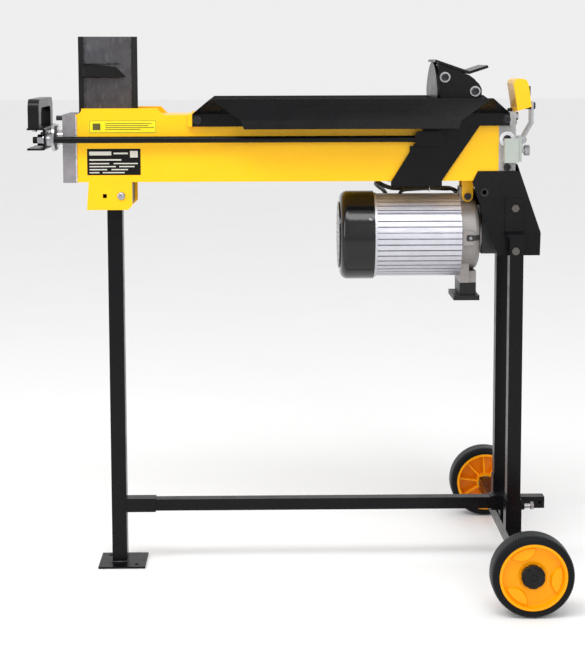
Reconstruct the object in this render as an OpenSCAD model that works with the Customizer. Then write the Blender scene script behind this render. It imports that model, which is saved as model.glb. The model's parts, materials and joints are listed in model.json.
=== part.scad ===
// Electric hydraulic log splitter on a two-wheeled stand.
// Origin on the floor under the middle of the machine: X along the beam, wedge at -X, controls at +X.
// The near side, with the control lever, faces -Y. Units are millimetres.

/* [Beam] */
// Height of the beam's top face above the floor
beam_top = 854; // [840:1:870]
// Height of the beam's section
beam_h = 122; // [118:1:126]
// Half of the beam's width
beam_half = 60; // [58:1:62]
// Thickness of the beam's plates
beam_t = 4; // [3:0.5:6]
// Distance from the origin to the beam's wedge end
beam_left = 394; // [390:1:400]
// Distance from the origin to the beam's control end
beam_right = 376; // [372:1:380]
// Thickness of the cast plate that closes the wedge end
end_plate_t = 24; // [20:1:28]
// Thickness of the cylinder head at the control end
head_t = 31; // [28:1:34]

/* [Ram] */
// Height of the ram's axis above the floor
ram_z = 811; // [809:0.5:813]
// Diameter of the chromed piston rod
rod_d = 28; // [25:1:30]
// Inner diameter of the cylinder
bore_d = 52; // [50:1:56]
// Wall of the cylinder tube
bore_wall = 5; // [4:0.5:6]
// Distance from the centre plane to each tie rod
tie_y = 74; // [73.5:0.1:74.5]
// Diameter of the tie rods
tie_d = 12; // [10:0.5:12]
// Where the pusher's face stands with the ram drawn back
pusher_x = 259; // [255:1:262]
// Thickness of the pusher's face plate
face_t = 5; // [4:0.5:5]
// Height of the pusher's face above the floor
face_top = 948; // [945:1:949]

/* [Wedge] */
// Height of the wedge's top above the floor
wedge_top = 996; // [980:1:1010]
// Distance from the origin to the splitting edge
wedge_edge = 285.6; // [280:0.1:290]
// Length of the wedge along the beam
wedge_l = 105; // [100:1:110]
// Half of the wedge's width at its back
wedge_half = 30; // [27:1:33]

/* [Log tray] */
// Distance from the centre plane to the tray's ridge
ridge_y = 109; // [105:1:112]
// Height of the tray's ridge above the floor
ridge_z = 884; // [880:1:886]
// Thickness of the tray's sheet
tray_t = 2; // [1.5:0.5:2.5]

/* [Stand] */
// Outer width of the front leg's square tube
leg_w = 28; // [26:1:30]
// Outer width of the rear legs' square tube
rear_leg_w = 25; // [24:0.5:25]
// Outer width of the long floor bar's square tube
bar_w = 22; // [20:1:22]
// Height of the floor bar's axis above the floor
bar_z = 113; // [110:1:116]
// Place of the wheel axle along the beam
axle_x = 406; // [400:1:410]
// Outer radius of the tyres
tyre_r = 72; // [70:1:74]
// Distance from the centre plane to the middle of each tyre
wheel_y = 292.5; // [290:0.5:295]
// Width of the tyres
tyre_w = 45; // [42:1:46]
// Diameter of the wheel axle
axle_d = 16; // [14:1:17]
// Centre to centre distance of the foot plate's two holes
foot_pcd = 76; // [72:1:80]
// Diameter of the foot plate's holes
foot_hole_d = 8; // [6:0.5:9]
// Diameter of the hole through the end of the floor bar
bar_hole_d = 6; // [5:0.5:8]

/* [Motor and pump] */
// Height of the motor's axis above the floor
motor_z = 627; // [625:1:628]
// Outer radius of the finned motor body
motor_r = 77; // [75:0.5:78]
// Number of fins round the motor body
fins = 44; // [36:2:50]
// Diameter of the motor shaft
shaft_d = 17; // [15:1:17]
// Teeth on each pump gear
gear_teeth = 12; // [12:1:12]
// Module of the pump gears
gear_module = 2; // [2:0.1:2]

/* [Controls] */
// Height of the lever's pivot above the floor
pivot_z = 806; // [805:1:807]
// Diameter of the valve spool
spool_d = 10; // [9:0.5:11]
// Travel of the start button
button_travel = 4; // [3:0.5:5]

/* [Hidden] */
$fn = 64;

// Running gap between a sliding plate and the beam
slide_gap = 1;
// Clearance on the diameter of a running fit
run_gap = 0.1;
// Clearance on the diameter of a screw in its hole
screw_gap = 0.5;

beam_bottom = beam_top - beam_h;
head_x1 = beam_right + head_t;
end_plate_x0 = -beam_left - end_plate_t;

// Screws, bolts and the dipstick of the two end castings, as places across and up
bleed_y = -42;
bleed_z = 848.5;
head_bolt_y = [-50, 50];
head_bolt_z = [742, 850];
dipstick_y = 42;
dipstick_z = 786;
plug_x = 391;
plug_z = 808;
lower_screw_z = 757;

// Tie rods, cross bracket and slide plates
tie_z = 810;
web_x = -448;
web_t = 3.6;
bracket_x0 = -478;
bracket_half = 89;
bracket_z0 = 792;
bracket_z1 = 832;
slide_y0 = beam_half + slide_gap;
slide_t = 5;
slide_y1 = slide_y0 + slide_t;
pusher_z0 = beam_top + slide_gap;
rib_y0 = 49;
pusher_bolt_spots = [[276, 921], [331, 895.5]];
pusher_bolt_d = 8;
washer_t = 2;

// Log tray
tray_y = 70;
tray_z0 = 833;
tray_bend_z = 856;
tray_screw_x = [-173, 388];
tray_screw_z = 844.5;
tray_screw_d = 6;

// Stand
leg_x = -330;
leg_head_z = [688, 724];
leg_head_x = [-358, -298];
front_bolt = [-313, 706.5];
front_spare_hole = [-343, 706.5];
front_bolt_d = 8;
foot_t = 3.5;
foot_x = -324;
rear_leg_y = 80;
rear_leg_top = 636;
stub_w = 29;
axle_z = tyre_r;
axle_tube_w = 28;
axle_tube_half = 262;
leg_bolt = [406, 682];
leg_pin = [404, 606];
bar_hole_x = 469.5;

// Height of the clamp bolts in the leg sockets
clamp_z = 128;

// Sheet cover at the control end
cover_outline = [[338, 750], [414, 750], [453.7, 637], [452.6, 595], [375, 595], [359, 637], [328, 730]];
cover_side = [[61.5, 750], [66.4, 637], [66.4, 595]];
cover_hole = [351, 710.5];

// Wheels
wheel_y0 = wheel_y - tyre_w / 2;
wheel_y1 = wheel_y + tyre_w / 2;
rim_r = 59;
hub_r = 17.4;
hub_y = [wheel_y0 - 3.7, wheel_y1 - 8.8];

// Motor
cover_x = [85, 150];
body_x = [154.5, 309];
shield_x = 166;
cap_x = [309, 344];
cap_r = 65.5;
pump_x = [350, 384];
hanger_bolt = [324.5, 700];
bearing_d = 35;

// Lever and spool
pivot_x = 421.5;
pivot_d = 6;
guard_screw_y = [-30, 4];
guard_screw_z = 838;
grip_screw_z = 868;
spool_y = -35;
spool_z = 786;
ear_y = [-56, -14];
ear_t = 3;

// Switch
switch_x = [178, 282];
switch_y = [80, 128];
switch_z = [588, 672];
button_x = 230;
button_z = 640;

switch_route = [[186, 104, 672], [184, 103, 690], [176, 86, 703], [166, 58, 711], [158, 30, 720],
    [160, 12, 724], [170, 5, 719], [186, 5, 713.5], [205, 7, 713], [226, 2, 713],
    [250, -3, 714], [268, 4, 713.5], [282, 18, 712.5], [296, 34, 711], [308, 46, 706],
    [314, 49, 698], [315, 49, 692], [315, 49, 688]];
motor_route = [[201, 0, 697], [201, 0, 701], [201, 0, 705], [206, -12, 711],
    [222, -18, 713], [240, -18, 714], [256, -17.5, 714.5], [272, -13, 713.5], [288, -2, 712],
    [300, 14, 711], [309, 28, 707], [315, 35, 699], [316, 36, 692], [316, 36, 688]];
cable_d = 8;
lead_d = 6.5;

// ---------- helpers ----------

// A box between pairs of limits
module block(x, y, z) {
    translate([x[0], y[0], z[0]]) cube([x[1] - x[0], y[1] - y[0], z[1] - z[0]]);
}

// Draws a 2D shape in X and Z, and gives it thickness from y0 to y1
module along_y(y0, y1) {
    translate([0, y1, 0]) rotate([90, 0, 0]) linear_extrude(y1 - y0) children();
}

// Draws a 2D shape in Y and Z, and gives it thickness from x0 to x1
module along_x(x0, x1) {
    translate([x0, 0, 0]) rotate([90, 0, 90]) linear_extrude(x1 - x0) children();
}

// Draws a 2D shape in X and Y, and gives it thickness from z0 to z1
module along_z(z0, z1) {
    translate([0, 0, z0]) linear_extrude(z1 - z0) children();
}

module rod_x(y, z, x0, x1, d) {
    translate([x0, y, z]) rotate([0, 90, 0]) cylinder(d = d, h = x1 - x0);
}

module rod_y(x, z, y0, y1, d) {
    translate([x, y0, z]) rotate([-90, 0, 0]) cylinder(d = d, h = y1 - y0);
}

module rod_z(x, y, z0, z1, d) {
    translate([x, y, z0]) cylinder(d = d, h = z1 - z0);
}

module hex_x(y, z, x0, x1, flats) {
    translate([x0, y, z]) rotate([0, 90, 0]) cylinder(d = flats / cos(30), h = x1 - x0, $fn = 6);
}

module hex_y(x, z, y0, y1, flats) {
    translate([x, y0, z]) rotate([-90, 0, 0]) cylinder(d = flats / cos(30), h = y1 - y0, $fn = 6);
}

module socket_y(x, z, y0, head_h, head_d) {
    difference() {
        rod_y(x, z, y0, y0 + head_h, head_d);
        hex_y(x, z, y0 + head_h / 2, y0 + head_h + 1, head_d / 2);
    }
}

// A turned shape about an axis along X: the profile holds [radius, place along X]
module turned_x(y, z) {
    translate([0, y, z]) rotate([0, 90, 0]) rotate_extrude() children();
}

// A turned shape about an axis along Y: the profile holds [radius, place along Y]
module turned_y(x, z) {
    translate([x, 0, z]) rotate([-90, 0, 0]) rotate_extrude() children();
}

module both_sides() {
    children();
    mirror([0, 1, 0]) children();
}

// Keeps a far-side part where it is, or mirrors it to the near side
module on_side(near) {
    mirror([0, near ? 1 : 0, 0]) children();
}

module rounded_rect(x, y, r) {
    translate([x[0] + r, y[0]]) square([x[1] - x[0] - 2 * r, y[1] - y[0]]);
    translate([x[0], y[0] + r]) square([x[1] - x[0], y[1] - y[0] - 2 * r]);
    for (px = [x[0] + r, x[1] - r], py = [y[0] + r, y[1] - r])
        translate([px, py]) circle(r = r);
}

function unit(v) = v / norm(v);
function turned_left(v) = [-v[1], v[0]];
function step_in(p, i) = unit(i == 0 ? p[1] - p[0] : p[i] - p[i - 1]);
function step_out(p, i) = unit(i == len(p) - 1 ? p[i] - p[i - 1] : p[i + 1] - p[i]);
function corner(p, i) = turned_left(step_in(p, i)) + turned_left(step_out(p, i));
function shifted(p, i, d) = p[i] + 2 * d * corner(p, i) / (corner(p, i) * corner(p, i));

// A bent sheet's section: a line of points with an even thickness
module bent_sheet(p, t) {
    last = len(p) - 1;
    polygon([for (i = [0:last]) shifted(p, i, t / 2), for (i = [last:-1:0]) shifted(p, i, -t / 2)]);
}

module square_tube_z(x, y, z0, z1, w, t) {
    difference() {
        block([x - w / 2, x + w / 2], [y - w / 2, y + w / 2], [z0, z1]);
        block([x - w / 2 + t, x + w / 2 - t], [y - w / 2 + t, y + w / 2 - t], [z0 - 1, z1 + 1]);
    }
}

module square_tube_x(z, x0, x1, w, t) {
    difference() {
        block([x0, x1], [-w / 2, w / 2], [z - w / 2, z + w / 2]);
        block([x0 - 1, x1 + 1], [-w / 2 + t, w / 2 - t], [z - w / 2 + t, z + w / 2 - t]);
    }
}

// Points of a smooth curve through a route, with a fixed number of steps between its points
function at(p, i) = p[max(0, min(len(p) - 1, i))];
function smooth_point(p, i, t) = 0.5 * (2 * at(p, i) + (at(p, i + 1) - at(p, i - 1)) * t
    + (2 * at(p, i - 1) - 5 * at(p, i) + 4 * at(p, i + 1) - at(p, i + 2)) * t * t
    + (3 * at(p, i) - at(p, i - 1) - 3 * at(p, i + 1) + at(p, i + 2)) * t * t * t);
function smooth_route(p, steps) = [for (i = [0:len(p) - 2], s = [0:steps - 1])
    smooth_point(p, i, s / steps), p[len(p) - 1]];
function heading(p, i) = unit(at(p, i + 1) - at(p, i - 1));
function side_of(h) = unit(cross(h, abs(h[2]) > 0.9 ? [1, 0, 0] : [0, 0, 1]));

// A round cable swept along a smoothed route
module cable(route, d, sides = 10) {
    p = smooth_route(route, 2);
    count = len(p);
    rings = [for (i = [0:count - 1]) let (h = heading(p, i), s = side_of(h), u = cross(s, h))
        for (a = [0:sides - 1]) p[i] + d / 2 * (s * cos(360 * a / sides) + u * sin(360 * a / sides))];
    walls = [for (i = [0:count - 2], a = [0:sides - 1]) let (b = (a + 1) % sides)
        [i * sides + a, i * sides + b, (i + 1) * sides + b, (i + 1) * sides + a]];
    first = [for (a = [sides - 1:-1:0]) a];
    end = [for (a = [0:sides - 1]) (count - 1) * sides + a];
    polyhedron(rings, concat(walls, [first, end]), convexity = 6);
}

// ---------- beam ----------

// The two side plates, each with a raised tab beside the wedge and spacers for the log tray
module beam_side_plates() {
    tab_h = 12;
    tab_end = -247;
    notch_r = 11;
    color("gold") both_sides() {
        difference() {
            along_y(beam_half - beam_t, beam_half) difference() {
                polygon([[-beam_left, beam_bottom], [beam_right, beam_bottom], [beam_right, beam_top],
                    [tab_end + tab_h, beam_top], [tab_end, beam_top + tab_h],
                    [-beam_left, beam_top + tab_h]]);
                translate([-beam_left, beam_top + tab_h]) circle(r = notch_r);
            }
            rod_y(tray_screw_x[0], tray_screw_z, 0, beam_half + 1, tray_screw_d + screw_gap);
        }
        difference() {
            block([-190, -165], [beam_half, tray_y - tray_t / 2], [tray_z0, tray_bend_z]);
            rod_y(tray_screw_x[0], tray_screw_z, 0, tray_y, tray_screw_d + screw_gap);
        }
    }
}

// The beam's top and bottom plates between the side plates
module beam_flanges() {
    inside = beam_half - beam_t;
    color("gold") {
        block([-beam_left, beam_right], [-inside, inside], [beam_top - beam_t, beam_top]);
        block([-beam_left, beam_right], [-inside, inside], [beam_bottom, beam_bottom + beam_t]);
    }
}

// The cast plate that closes the wedge end and guides the piston rod
module front_end_plate() {
    seat_d = 44;
    seat_depth = 10;
    color("darkgray") difference() {
        block([end_plate_x0, -beam_left], [-beam_half, beam_half], [beam_bottom - 1, beam_top + 1]);
        rod_x(0, ram_z, end_plate_x0 - 1, -beam_left + 1, rod_d + 1);
        rod_x(0, ram_z, end_plate_x0 - 1, end_plate_x0 + seat_depth, seat_d);
        rod_x(bleed_y, bleed_z, end_plate_x0 - 1, end_plate_x0 + 12, 6);
    }
}

// The ring with the rod's seal and wiper
module rod_gland() {
    color("dimgray") difference() {
        rod_x(0, ram_z, end_plate_x0 - 1.5, end_plate_x0 + 10, 44);
        rod_x(0, ram_z, end_plate_x0 - 3, end_plate_x0 + 12, rod_d + run_gap);
    }
}

module cylinder_tube() {
    color("silver") difference() {
        rod_x(0, ram_z, -beam_left, beam_right, bore_d + 2 * bore_wall);
        rod_x(0, ram_z, -beam_left - 1, beam_right + 1, bore_d);
    }
}

// The grey cast head at the control end, bored for the valve spool
module cylinder_head() {
    color("darkgray") difference() {
        union() {
            block([beam_right, head_x1], [-beam_half, beam_half], [beam_bottom, beam_top + 4]);
            both_sides() block([377, 399], [beam_half, tray_y - tray_t / 2], [tray_z0, tray_bend_z]);
        }
        both_sides() rod_y(tray_screw_x[1], tray_screw_z, 40, tray_y, tray_screw_d + screw_gap);
        rod_x(spool_y, spool_z, beam_right + 6, head_x1 + 1, spool_d + run_gap);
        rod_x(dipstick_y, dipstick_z, beam_right - 1, head_x1 + 1, 14.4);
        for (y = head_bolt_y, z = head_bolt_z) rod_x(y, z, head_x1 - 12, head_x1 + 1, 8);
        for (y = guard_screw_y) rod_x(y, guard_screw_z, head_x1 - 10, head_x1 + 1, 5);
        for (z = [lower_screw_z, plug_z]) rod_y(plug_x, z, -beam_half - 1, -beam_half + 14, 8);
    }
}

// The valve block on the near side of the head
module valve_block() {
    color("lightgray") difference() {
        union() {
            block([383.5, 409], [-83, -beam_half], [766, 810]);
            block([409, 415], [-80, -beam_half - 2], [768, 810]);
        }
        rod_y(plug_x, plug_z, -beam_half - 10.5, -beam_half + 1, 30);
    }
}

module oil_dipstick() {
    color("dimgray") {
        rod_x(dipstick_y, dipstick_z, 300, head_x1, 5);
        rod_x(dipstick_y, dipstick_z, beam_right + 4, head_x1, 14);
        rod_x(dipstick_y, dipstick_z, head_x1, head_x1 + 4, 26);
        hex_x(dipstick_y, dipstick_z, head_x1 + 4, head_x1 + 12, 20);
    }
}

// The pale sealing ring round the plug on the head's near face
module seal_ring() {
    color("white") mirror([0, 1, 0]) difference() {
        rod_y(plug_x, plug_z, beam_half, beam_half + 3, 28.6);
        rod_y(plug_x, plug_z, beam_half - 1, beam_half + 4, 14.6);
    }
}

// ---------- controls ----------

// The two ears and the pin that carry the control lever
module lever_bracket() {
    plate_t = 3;
    color("silver") {
        difference() {
            block([head_x1, head_x1 + plate_t], [ear_y[0] - 2, ear_y[1] + 2], [772, 812]);
            rod_x(spool_y, spool_z, head_x1 - 1, head_x1 + plate_t + 1, 20);
        }
        for (y = [ear_y[0], ear_y[1] - ear_t]) along_y(y, y + ear_t) {
            translate([head_x1, pivot_z - 6]) square([pivot_x - head_x1, 12]);
            translate([pivot_x, pivot_z]) circle(r = 6);
        }
        rod_y(pivot_x, pivot_z, ear_y[0] - 2, ear_y[1] + 2, pivot_d);
    }
}

// The bent yellow hood that keeps the log side away from the lever hand
module hand_guard() {
    y = [-62, 15];
    t = 2.5;
    top_z = 917.5;
    hood = [[409.5, 859], [401.5, 909], [404, 914.5], [409, top_z], [420, top_z], [426, 914.5],
        [429, 907], [435, 867]];
    color("gold") difference() {
        union() {
            along_y(y[0], y[1]) polygon(hood);
            block([head_x1, head_x1 + t], [-41, 12], [816, 864]);
        }
        along_y(y[0] + t, y[1] - t)
            polygon([[hood[0][0] + t, hood[0][1] - 8], [hood[1][0] + t, hood[1][1]],
                [hood[2][0] + t, hood[2][1] - t / 2], [hood[3][0] + t, top_z - t],
                [460, top_z - t], [460, hood[0][1] - 8]]);
        for (sy = guard_screw_y) rod_x(sy, guard_screw_z, head_x1 - 1, head_x1 + t + 1, 5.5);
    }
}

// The bent strap lever with its hub and the fork that moves the spool
module control_lever() {
    hub_d = 14;
    roller_d = 9;
    strap_t = 4.5;
    strap_y = [-50, -20];
    path = [[pivot_x, pivot_z], [425.5, 814], [438.5, 837], [438.5, 876]];
    color("silver") difference() {
        union() {
            rod_y(pivot_x, pivot_z, strap_y[0] - 2, strap_y[1] + 2, hub_d);
            along_y(strap_y[0], strap_y[1]) bent_sheet(path, strap_t);
            for (y = [spool_y - 8.5, spool_y + 4.5]) {
                block([pivot_x - 1, pivot_x + 1], [y, y + 4], [spool_z, pivot_z]);
                rod_y(pivot_x, spool_z, y, y + 4, roller_d);
            }
        }
        rod_y(pivot_x, pivot_z, strap_y[0] - 3, strap_y[1] + 3, pivot_d + run_gap);
        rod_x(spool_y, grip_screw_z, 430, 450, 6.5);
    }
}

// The plastic grip inside the hood, with the screw that holds it to the strap
module lever_grip() {
    x = [417, 436.25];
    color("dimgray") {
        difference() {
            along_z(862, 904) rounded_rect(x, [spool_y - 12, spool_y + 12], 7);
            rod_x(spool_y, grip_screw_z, 424, 437, 6);
        }
        rod_x(spool_y, grip_screw_z, 424, 440.75, 6);
        rod_x(spool_y, grip_screw_z, 440.75, 445.5, 13);
    }
}

// The spool: its rod in the head, a shoulder and a hexagonal end on each side of the fork
module valve_spool() {
    groove = [pivot_x - 4.8, pivot_x + 4.8];
    color("silver") {
        rod_x(spool_y, spool_z, beam_right + 14, groove[0] - 3, spool_d);
        rod_x(spool_y, spool_z, groove[0] - 3.1, groove[0], 18);
        rod_x(spool_y, spool_z, groove[0] - 0.1, groove[1] + 0.1, 8);
        hex_x(spool_y, spool_z, groove[1], 436, 17);
    }
}

// ---------- wedge ----------

// The splitting wedge: a hollow welded body, a sharpened nose, a back plate and two side wings
module wedge() {
    back = -wedge_edge - wedge_l;
    back_t = 10;
    nose_l = 11;
    wall = 8;
    nose_half = 4.5;
    body = [back + back_t, -wedge_edge - nose_l];
    color("dimgray") {
        difference() {
            along_z(beam_top, wedge_top) polygon([[body[0], -wedge_half], [body[1], -nose_half],
                [-wedge_edge, -0.4], [-wedge_edge, 0.4], [body[1], nose_half], [body[0], wedge_half]]);
            along_z(beam_top - 1, wedge_top - wall) polygon([[body[0] + 1, wall - wedge_half],
                [body[1] - 30, 0], [body[0] + 1, wedge_half - wall]]);
        }
        block([back, body[0]], [-wedge_half - 3, wedge_half + 3], [beam_top, wedge_top]);
        both_sides() side_wedge(body[0]);
    }
}

// One side wing: thick at the back, running down to a point at its front
module side_wedge(x0) {
    hull() {
        block([x0 - 4, x0], [22, 30], [921, 947]);
        block([x0, x0 + 8], [40, 52], [924, 940]);
        block([x0 + 50, x0 + 56], [12, 24], [922, 941]);
        block([x0 + 68, x0 + 73], [5, 9], [921.5, 924]);
    }
}

// ---------- log tray ----------

// One bent sheet: an upright flange, a panel that flares up to the ridge, and an outer skirt
module wing(extra) {
    flange = [[tray_y, tray_z0], [tray_y, tray_bend_z], [ridge_y, ridge_z]];
    skirt = [[ridge_y, ridge_z], [ridge_y + 0.4, 845], [ridge_y + 5, 830]];
    right = 394 + extra;
    color("dimgray") difference() {
        union() {
            intersection() {
                along_x(-200, 420) bent_sheet(flange, tray_t);
                along_y(60, 120) polygon([[-182, tray_z0], [right, tray_z0], [right, tray_bend_z],
                    [right - 36, ridge_z], [-148, ridge_z], [-182, tray_bend_z]]);
            }
            intersection() {
                along_x(-200, 420) bent_sheet(skirt, tray_t);
                along_y(60, 120) polygon([[-148, ridge_z + 1], [right - 36, ridge_z + 1],
                    [right - 92, 845], [right - 99, 829], [-87, 829], [-94, 845]]);
            }
            along_y(ridge_y + 0.5, ridge_y + 2.4) {
                rounded_rect([-20, 230], [873, 877], 1.9);
                rounded_rect([0, 207], [861, 865], 1.9);
            }
        }
        for (x = tray_screw_x)
            rod_y(x, tray_screw_z, 60, 80, tray_screw_d + screw_gap);
    }
}

module wing_near() { on_side(true) wing(0); }

module wing_far() { on_side(false) wing(12); }

// ---------- stand ----------

// Two yellow cheeks under the beam that take the front leg's head
module front_bracket() {
    color("gold") both_sides() difference() {
        along_y(beam_half - beam_t, beam_half) difference() {
            polygon([[-372, beam_bottom], [-376, 681], [-301, 681], [-293, 689], [-293, beam_bottom]]);
            translate(front_spare_hole) square(7.5, center = true);
        }
        rod_y(front_bolt[0], front_bolt[1], 50, 65, front_bolt_d + screw_gap);
    }
}

// The front leg with its closed cross head and the sleeve that takes the floor bar
module front_leg() {
    head_half = beam_half - beam_t - 0.5;
    sleeve_w = 26;
    sleeve_x = leg_x + leg_w / 2;
    wall = 3;
    color("dimgray") {
        foot_plate();
        square_tube_z(leg_x, 0, foot_t, leg_head_z[0], leg_w, 2);
        difference() {
            block(leg_head_x, [-head_half, head_half], leg_head_z);
            block([leg_head_x[0] + wall, leg_head_x[1] - wall], [wall - head_half, head_half - wall],
                [leg_head_z[0] + wall, leg_head_z[1] - wall]);
            for (p = [front_bolt, front_spare_hole])
                rod_y(p[0], p[1], -head_half - 1, head_half + 1, front_bolt_d + screw_gap);
        }
        square_tube_x(bar_z, sleeve_x, sleeve_x + 55, sleeve_w, (sleeve_w - bar_w) / 2 - 0.2);
    }
}

module foot_plate() {
    hole_step = foot_pcd / 2 * sqrt(0.5);
    difference() {
        block([foot_x - 44, foot_x + 44], [-42, 42], [0, foot_t]);
        for (s = [-1, 1])
            rod_z(foot_x + s * hole_step, -s * hole_step, -1, foot_t + 1, foot_hole_d);
    }
}

// The long floor bar, with a hole through its free end
module stand_bar() {
    color("dimgray") difference() {
        square_tube_x(bar_z, leg_x + leg_w / 2 + 2, 478, bar_w, 2);
        rod_y(bar_hole_x, bar_z, -bar_w, bar_w, bar_hole_d);
    }
}

// The axle's square tube with its end plates and the sleeve over the floor bar
module axle_tube() {
    half = axle_tube_w / 2;
    inner = 9.5;
    sleeve_w = 27;
    color("dimgray") leg_sockets();
    color("dimgray") difference() {
        union() {
            block([axle_x - half, axle_x + half], [-axle_tube_half, axle_tube_half],
                [axle_z - half, axle_z + half]);
            block([axle_x - 12, axle_x + 12], [-12, 12], [axle_z + half, bar_z - sleeve_w / 2]);
            square_tube_x(bar_z, axle_x - 30, axle_x + 24, sleeve_w, (sleeve_w - bar_w) / 2 - 0.2);
        }
        block([axle_x - inner, axle_x + inner], [6 - axle_tube_half, axle_tube_half - 6],
            [axle_z - inner, axle_z + inner]);
        rod_y(axle_x, axle_z, -axle_tube_half - 1, axle_tube_half + 1, axle_d);
    }
}

// The two upright sockets welded on the axle tube, with the weld nuts of their clamp bolts
module leg_sockets() {
    wall = (stub_w - rear_leg_w) / 2 - 0.1;
    base = axle_z + axle_tube_w / 2;
    for (s = [-1, 1]) difference() {
        union() {
            square_tube_z(axle_x, s * rear_leg_y, base, base + 57, stub_w, wall);
            hex_x(s * rear_leg_y, clamp_z, axle_x + stub_w / 2, axle_x + stub_w / 2 + 7, 14);
        }
        rod_x(s * rear_leg_y, clamp_z, axle_x + 5, axle_x + stub_w, 8);
    }
}

// The two rear legs: square tubes with a flat bolting tab on top
module rear_legs() {
    half = rear_leg_w / 2;
    tab = [axle_x - 18, axle_x + 14];
    color("dimgray") both_sides() difference() {
        union() {
            square_tube_z(axle_x, rear_leg_y, axle_z + axle_tube_w / 2 + 2, rear_leg_top, rear_leg_w, 2);
            along_x(tab[0], tab[1]) polygon([[rear_leg_y - half, rear_leg_top - 4],
                [rear_leg_y + half, rear_leg_top - 4], [rear_leg_y + half, rear_leg_top],
                [rear_leg_y - half + 3, rear_leg_top + 4], [67.9, 700], [64.9, 700],
                [rear_leg_y - half, rear_leg_top]]);
        }
        rod_y(leg_bolt[0], leg_bolt[1], 55, 90, front_bolt_d + screw_gap);
        rod_y(leg_pin[0], leg_pin[1], 55, 100, front_bolt_d + screw_gap);
    }
}

// The axle with the washers that hold each wheel
module axle_rod() {
    color("silver") {
        rod_y(axle_x, axle_z, -hub_y[1] - 3.2, hub_y[1] + 3.2, axle_d);
        both_sides() {
            rod_y(axle_x, axle_z, axle_tube_half, hub_y[0] - 0.3, 30);
            rod_y(axle_x, axle_z, hub_y[1] + 0.3, hub_y[1] + 2.3, 30);
        }
    }
}

// ---------- wheels ----------

// Shapes drawn for the far wheel, with the radius first and the place along the axle second
module tyre(near) {
    y = [wheel_y0, wheel_y1];
    bead = rim_r - 2;
    color("dimgray") on_side(near) turned_y(axle_x, axle_z)
        polygon([[bead, y[0] + 3.5], [rim_r + 0.3, y[0] + 3.5], [rim_r + 0.3, y[0] + 0.2],
            [tyre_r - 6, y[0]], [tyre_r - 2, y[0] + 2.5], [tyre_r, y[0] + 7], [tyre_r, y[1] - 7],
            [tyre_r - 2, y[1] - 2.5], [tyre_r - 6, y[1]], [rim_r + 0.3, y[1] - 0.2],
            [rim_r + 0.3, y[1] - 3.5], [bead, y[1] - 3.5]]);
}

module rim(near) {
    y = [wheel_y0, wheel_y1];
    barrel = rim_r - 2;
    color("orange") on_side(near) turned_y(axle_x, axle_z)
        polygon([[barrel - 3, y[0] + 1], [rim_r, y[0] + 1], [rim_r, y[0] + 3.3],
            [barrel, y[0] + 3.3], [barrel, y[1] - 3.3], [rim_r, y[1] - 3.3], [rim_r, y[1] - 1],
            [barrel - 3, y[1] - 1]]);
}

// The dished disc with the wheel's hub, moulded inside the rim
module wheel_disc(near) {
    edge = rim_r - 5;
    bore_r = (axle_d + run_gap) / 2;
    web = wheel_y1 - 15;
    color("orange") on_side(near) turned_y(axle_x, axle_z)
        polygon([[bore_r, hub_y[0]], [hub_r, hub_y[0]], [hub_r, web - 3], [edge, web - 1],
            [edge, web + 3], [hub_r + 8, web + 4], [hub_r + 4, web + 1.5], [hub_r, web + 1.5],
            [hub_r, hub_y[1]], [bore_r, hub_y[1]]]);
}

// The cap pushed over the hub, clear of the axle's end
module hub_cap(near) {
    outer = wheel_y1 - 1;
    color("dimgray") on_side(near) turned_y(axle_x, axle_z)
        polygon([[0, outer - 2], [hub_r + 0.1, outer - 2], [hub_r + 0.1, hub_y[1] - 4],
            [hub_r + 3.1, hub_y[1] - 4], [hub_r + 3.1, outer - 2], [hub_r + 1.1, outer], [0, outer]]);
}

module tyre_near() { tyre(true); }

module rim_near() { rim(true); }

module disc_near() { wheel_disc(true); }

module hub_cap_near() { hub_cap(true); }

module tyre_far() { tyre(false); }

module rim_far() { rim(false); }

module disc_far() { wheel_disc(false); }

module hub_cap_far() { hub_cap(false); }

// ---------- rear cover and motor hangers ----------

// The two flared sides of the sheet cover that carries the rear legs
module cover_sides() {
    both_sides() difference() {
        intersection() {
            along_x(300, 480) bent_sheet(cover_side, 2);
            along_y(55, 75) polygon(cover_outline);
        }
        rod_y(cover_hole[0], cover_hole[1], 55, 75, 16);
        rod_y(leg_bolt[0], leg_bolt[1], 55, 75, front_bolt_d + screw_gap);
        rod_y(leg_pin[0], leg_pin[1], 55, 75, front_bolt_d + screw_gap);
    }
}

// The sloping end wall between the sides
module cover_end() {
    wall = [[409.5, 762], [452.6, 637], [451.6, 595]];
    intersection() {
        along_y(-80, 80) bent_sheet(wall, 2);
        along_x(380, 480) polygon([[-61.5, 765], [61.5, 765], [61.5, 750], [66.4, 637],
            [66.4, 590], [-66.4, 590], [-66.4, 637], [-61.5, 750]]);
    }
}

module rear_cover() {
    color("dimgray") {
        cover_sides();
        cover_end();
    }
}

// Yellow lugs under the beam: a pair behind the cover's holes and a pair that holds the motor
module motor_hanger() {
    color("gold") {
        both_sides() along_y(beam_half - beam_t, beam_half) difference() {
            union() {
                translate(cover_hole - [12, 0]) square([24, beam_bottom - cover_hole[1]]);
                translate(cover_hole) circle(r = 12);
            }
            translate(cover_hole) circle(r = 4.5);
        }
        for (y = [-22, 18]) along_y(y, y + 4) difference() {
            union() {
                translate([hanger_bolt[0] - 10.5, hanger_bolt[1]])
                    square([21, beam_bottom - hanger_bolt[1]]);
                translate(hanger_bolt) circle(r = 10.5);
            }
            translate(hanger_bolt) circle(d = 8.5);
        }
    }
}

// ---------- fasteners of the frame ----------

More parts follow.
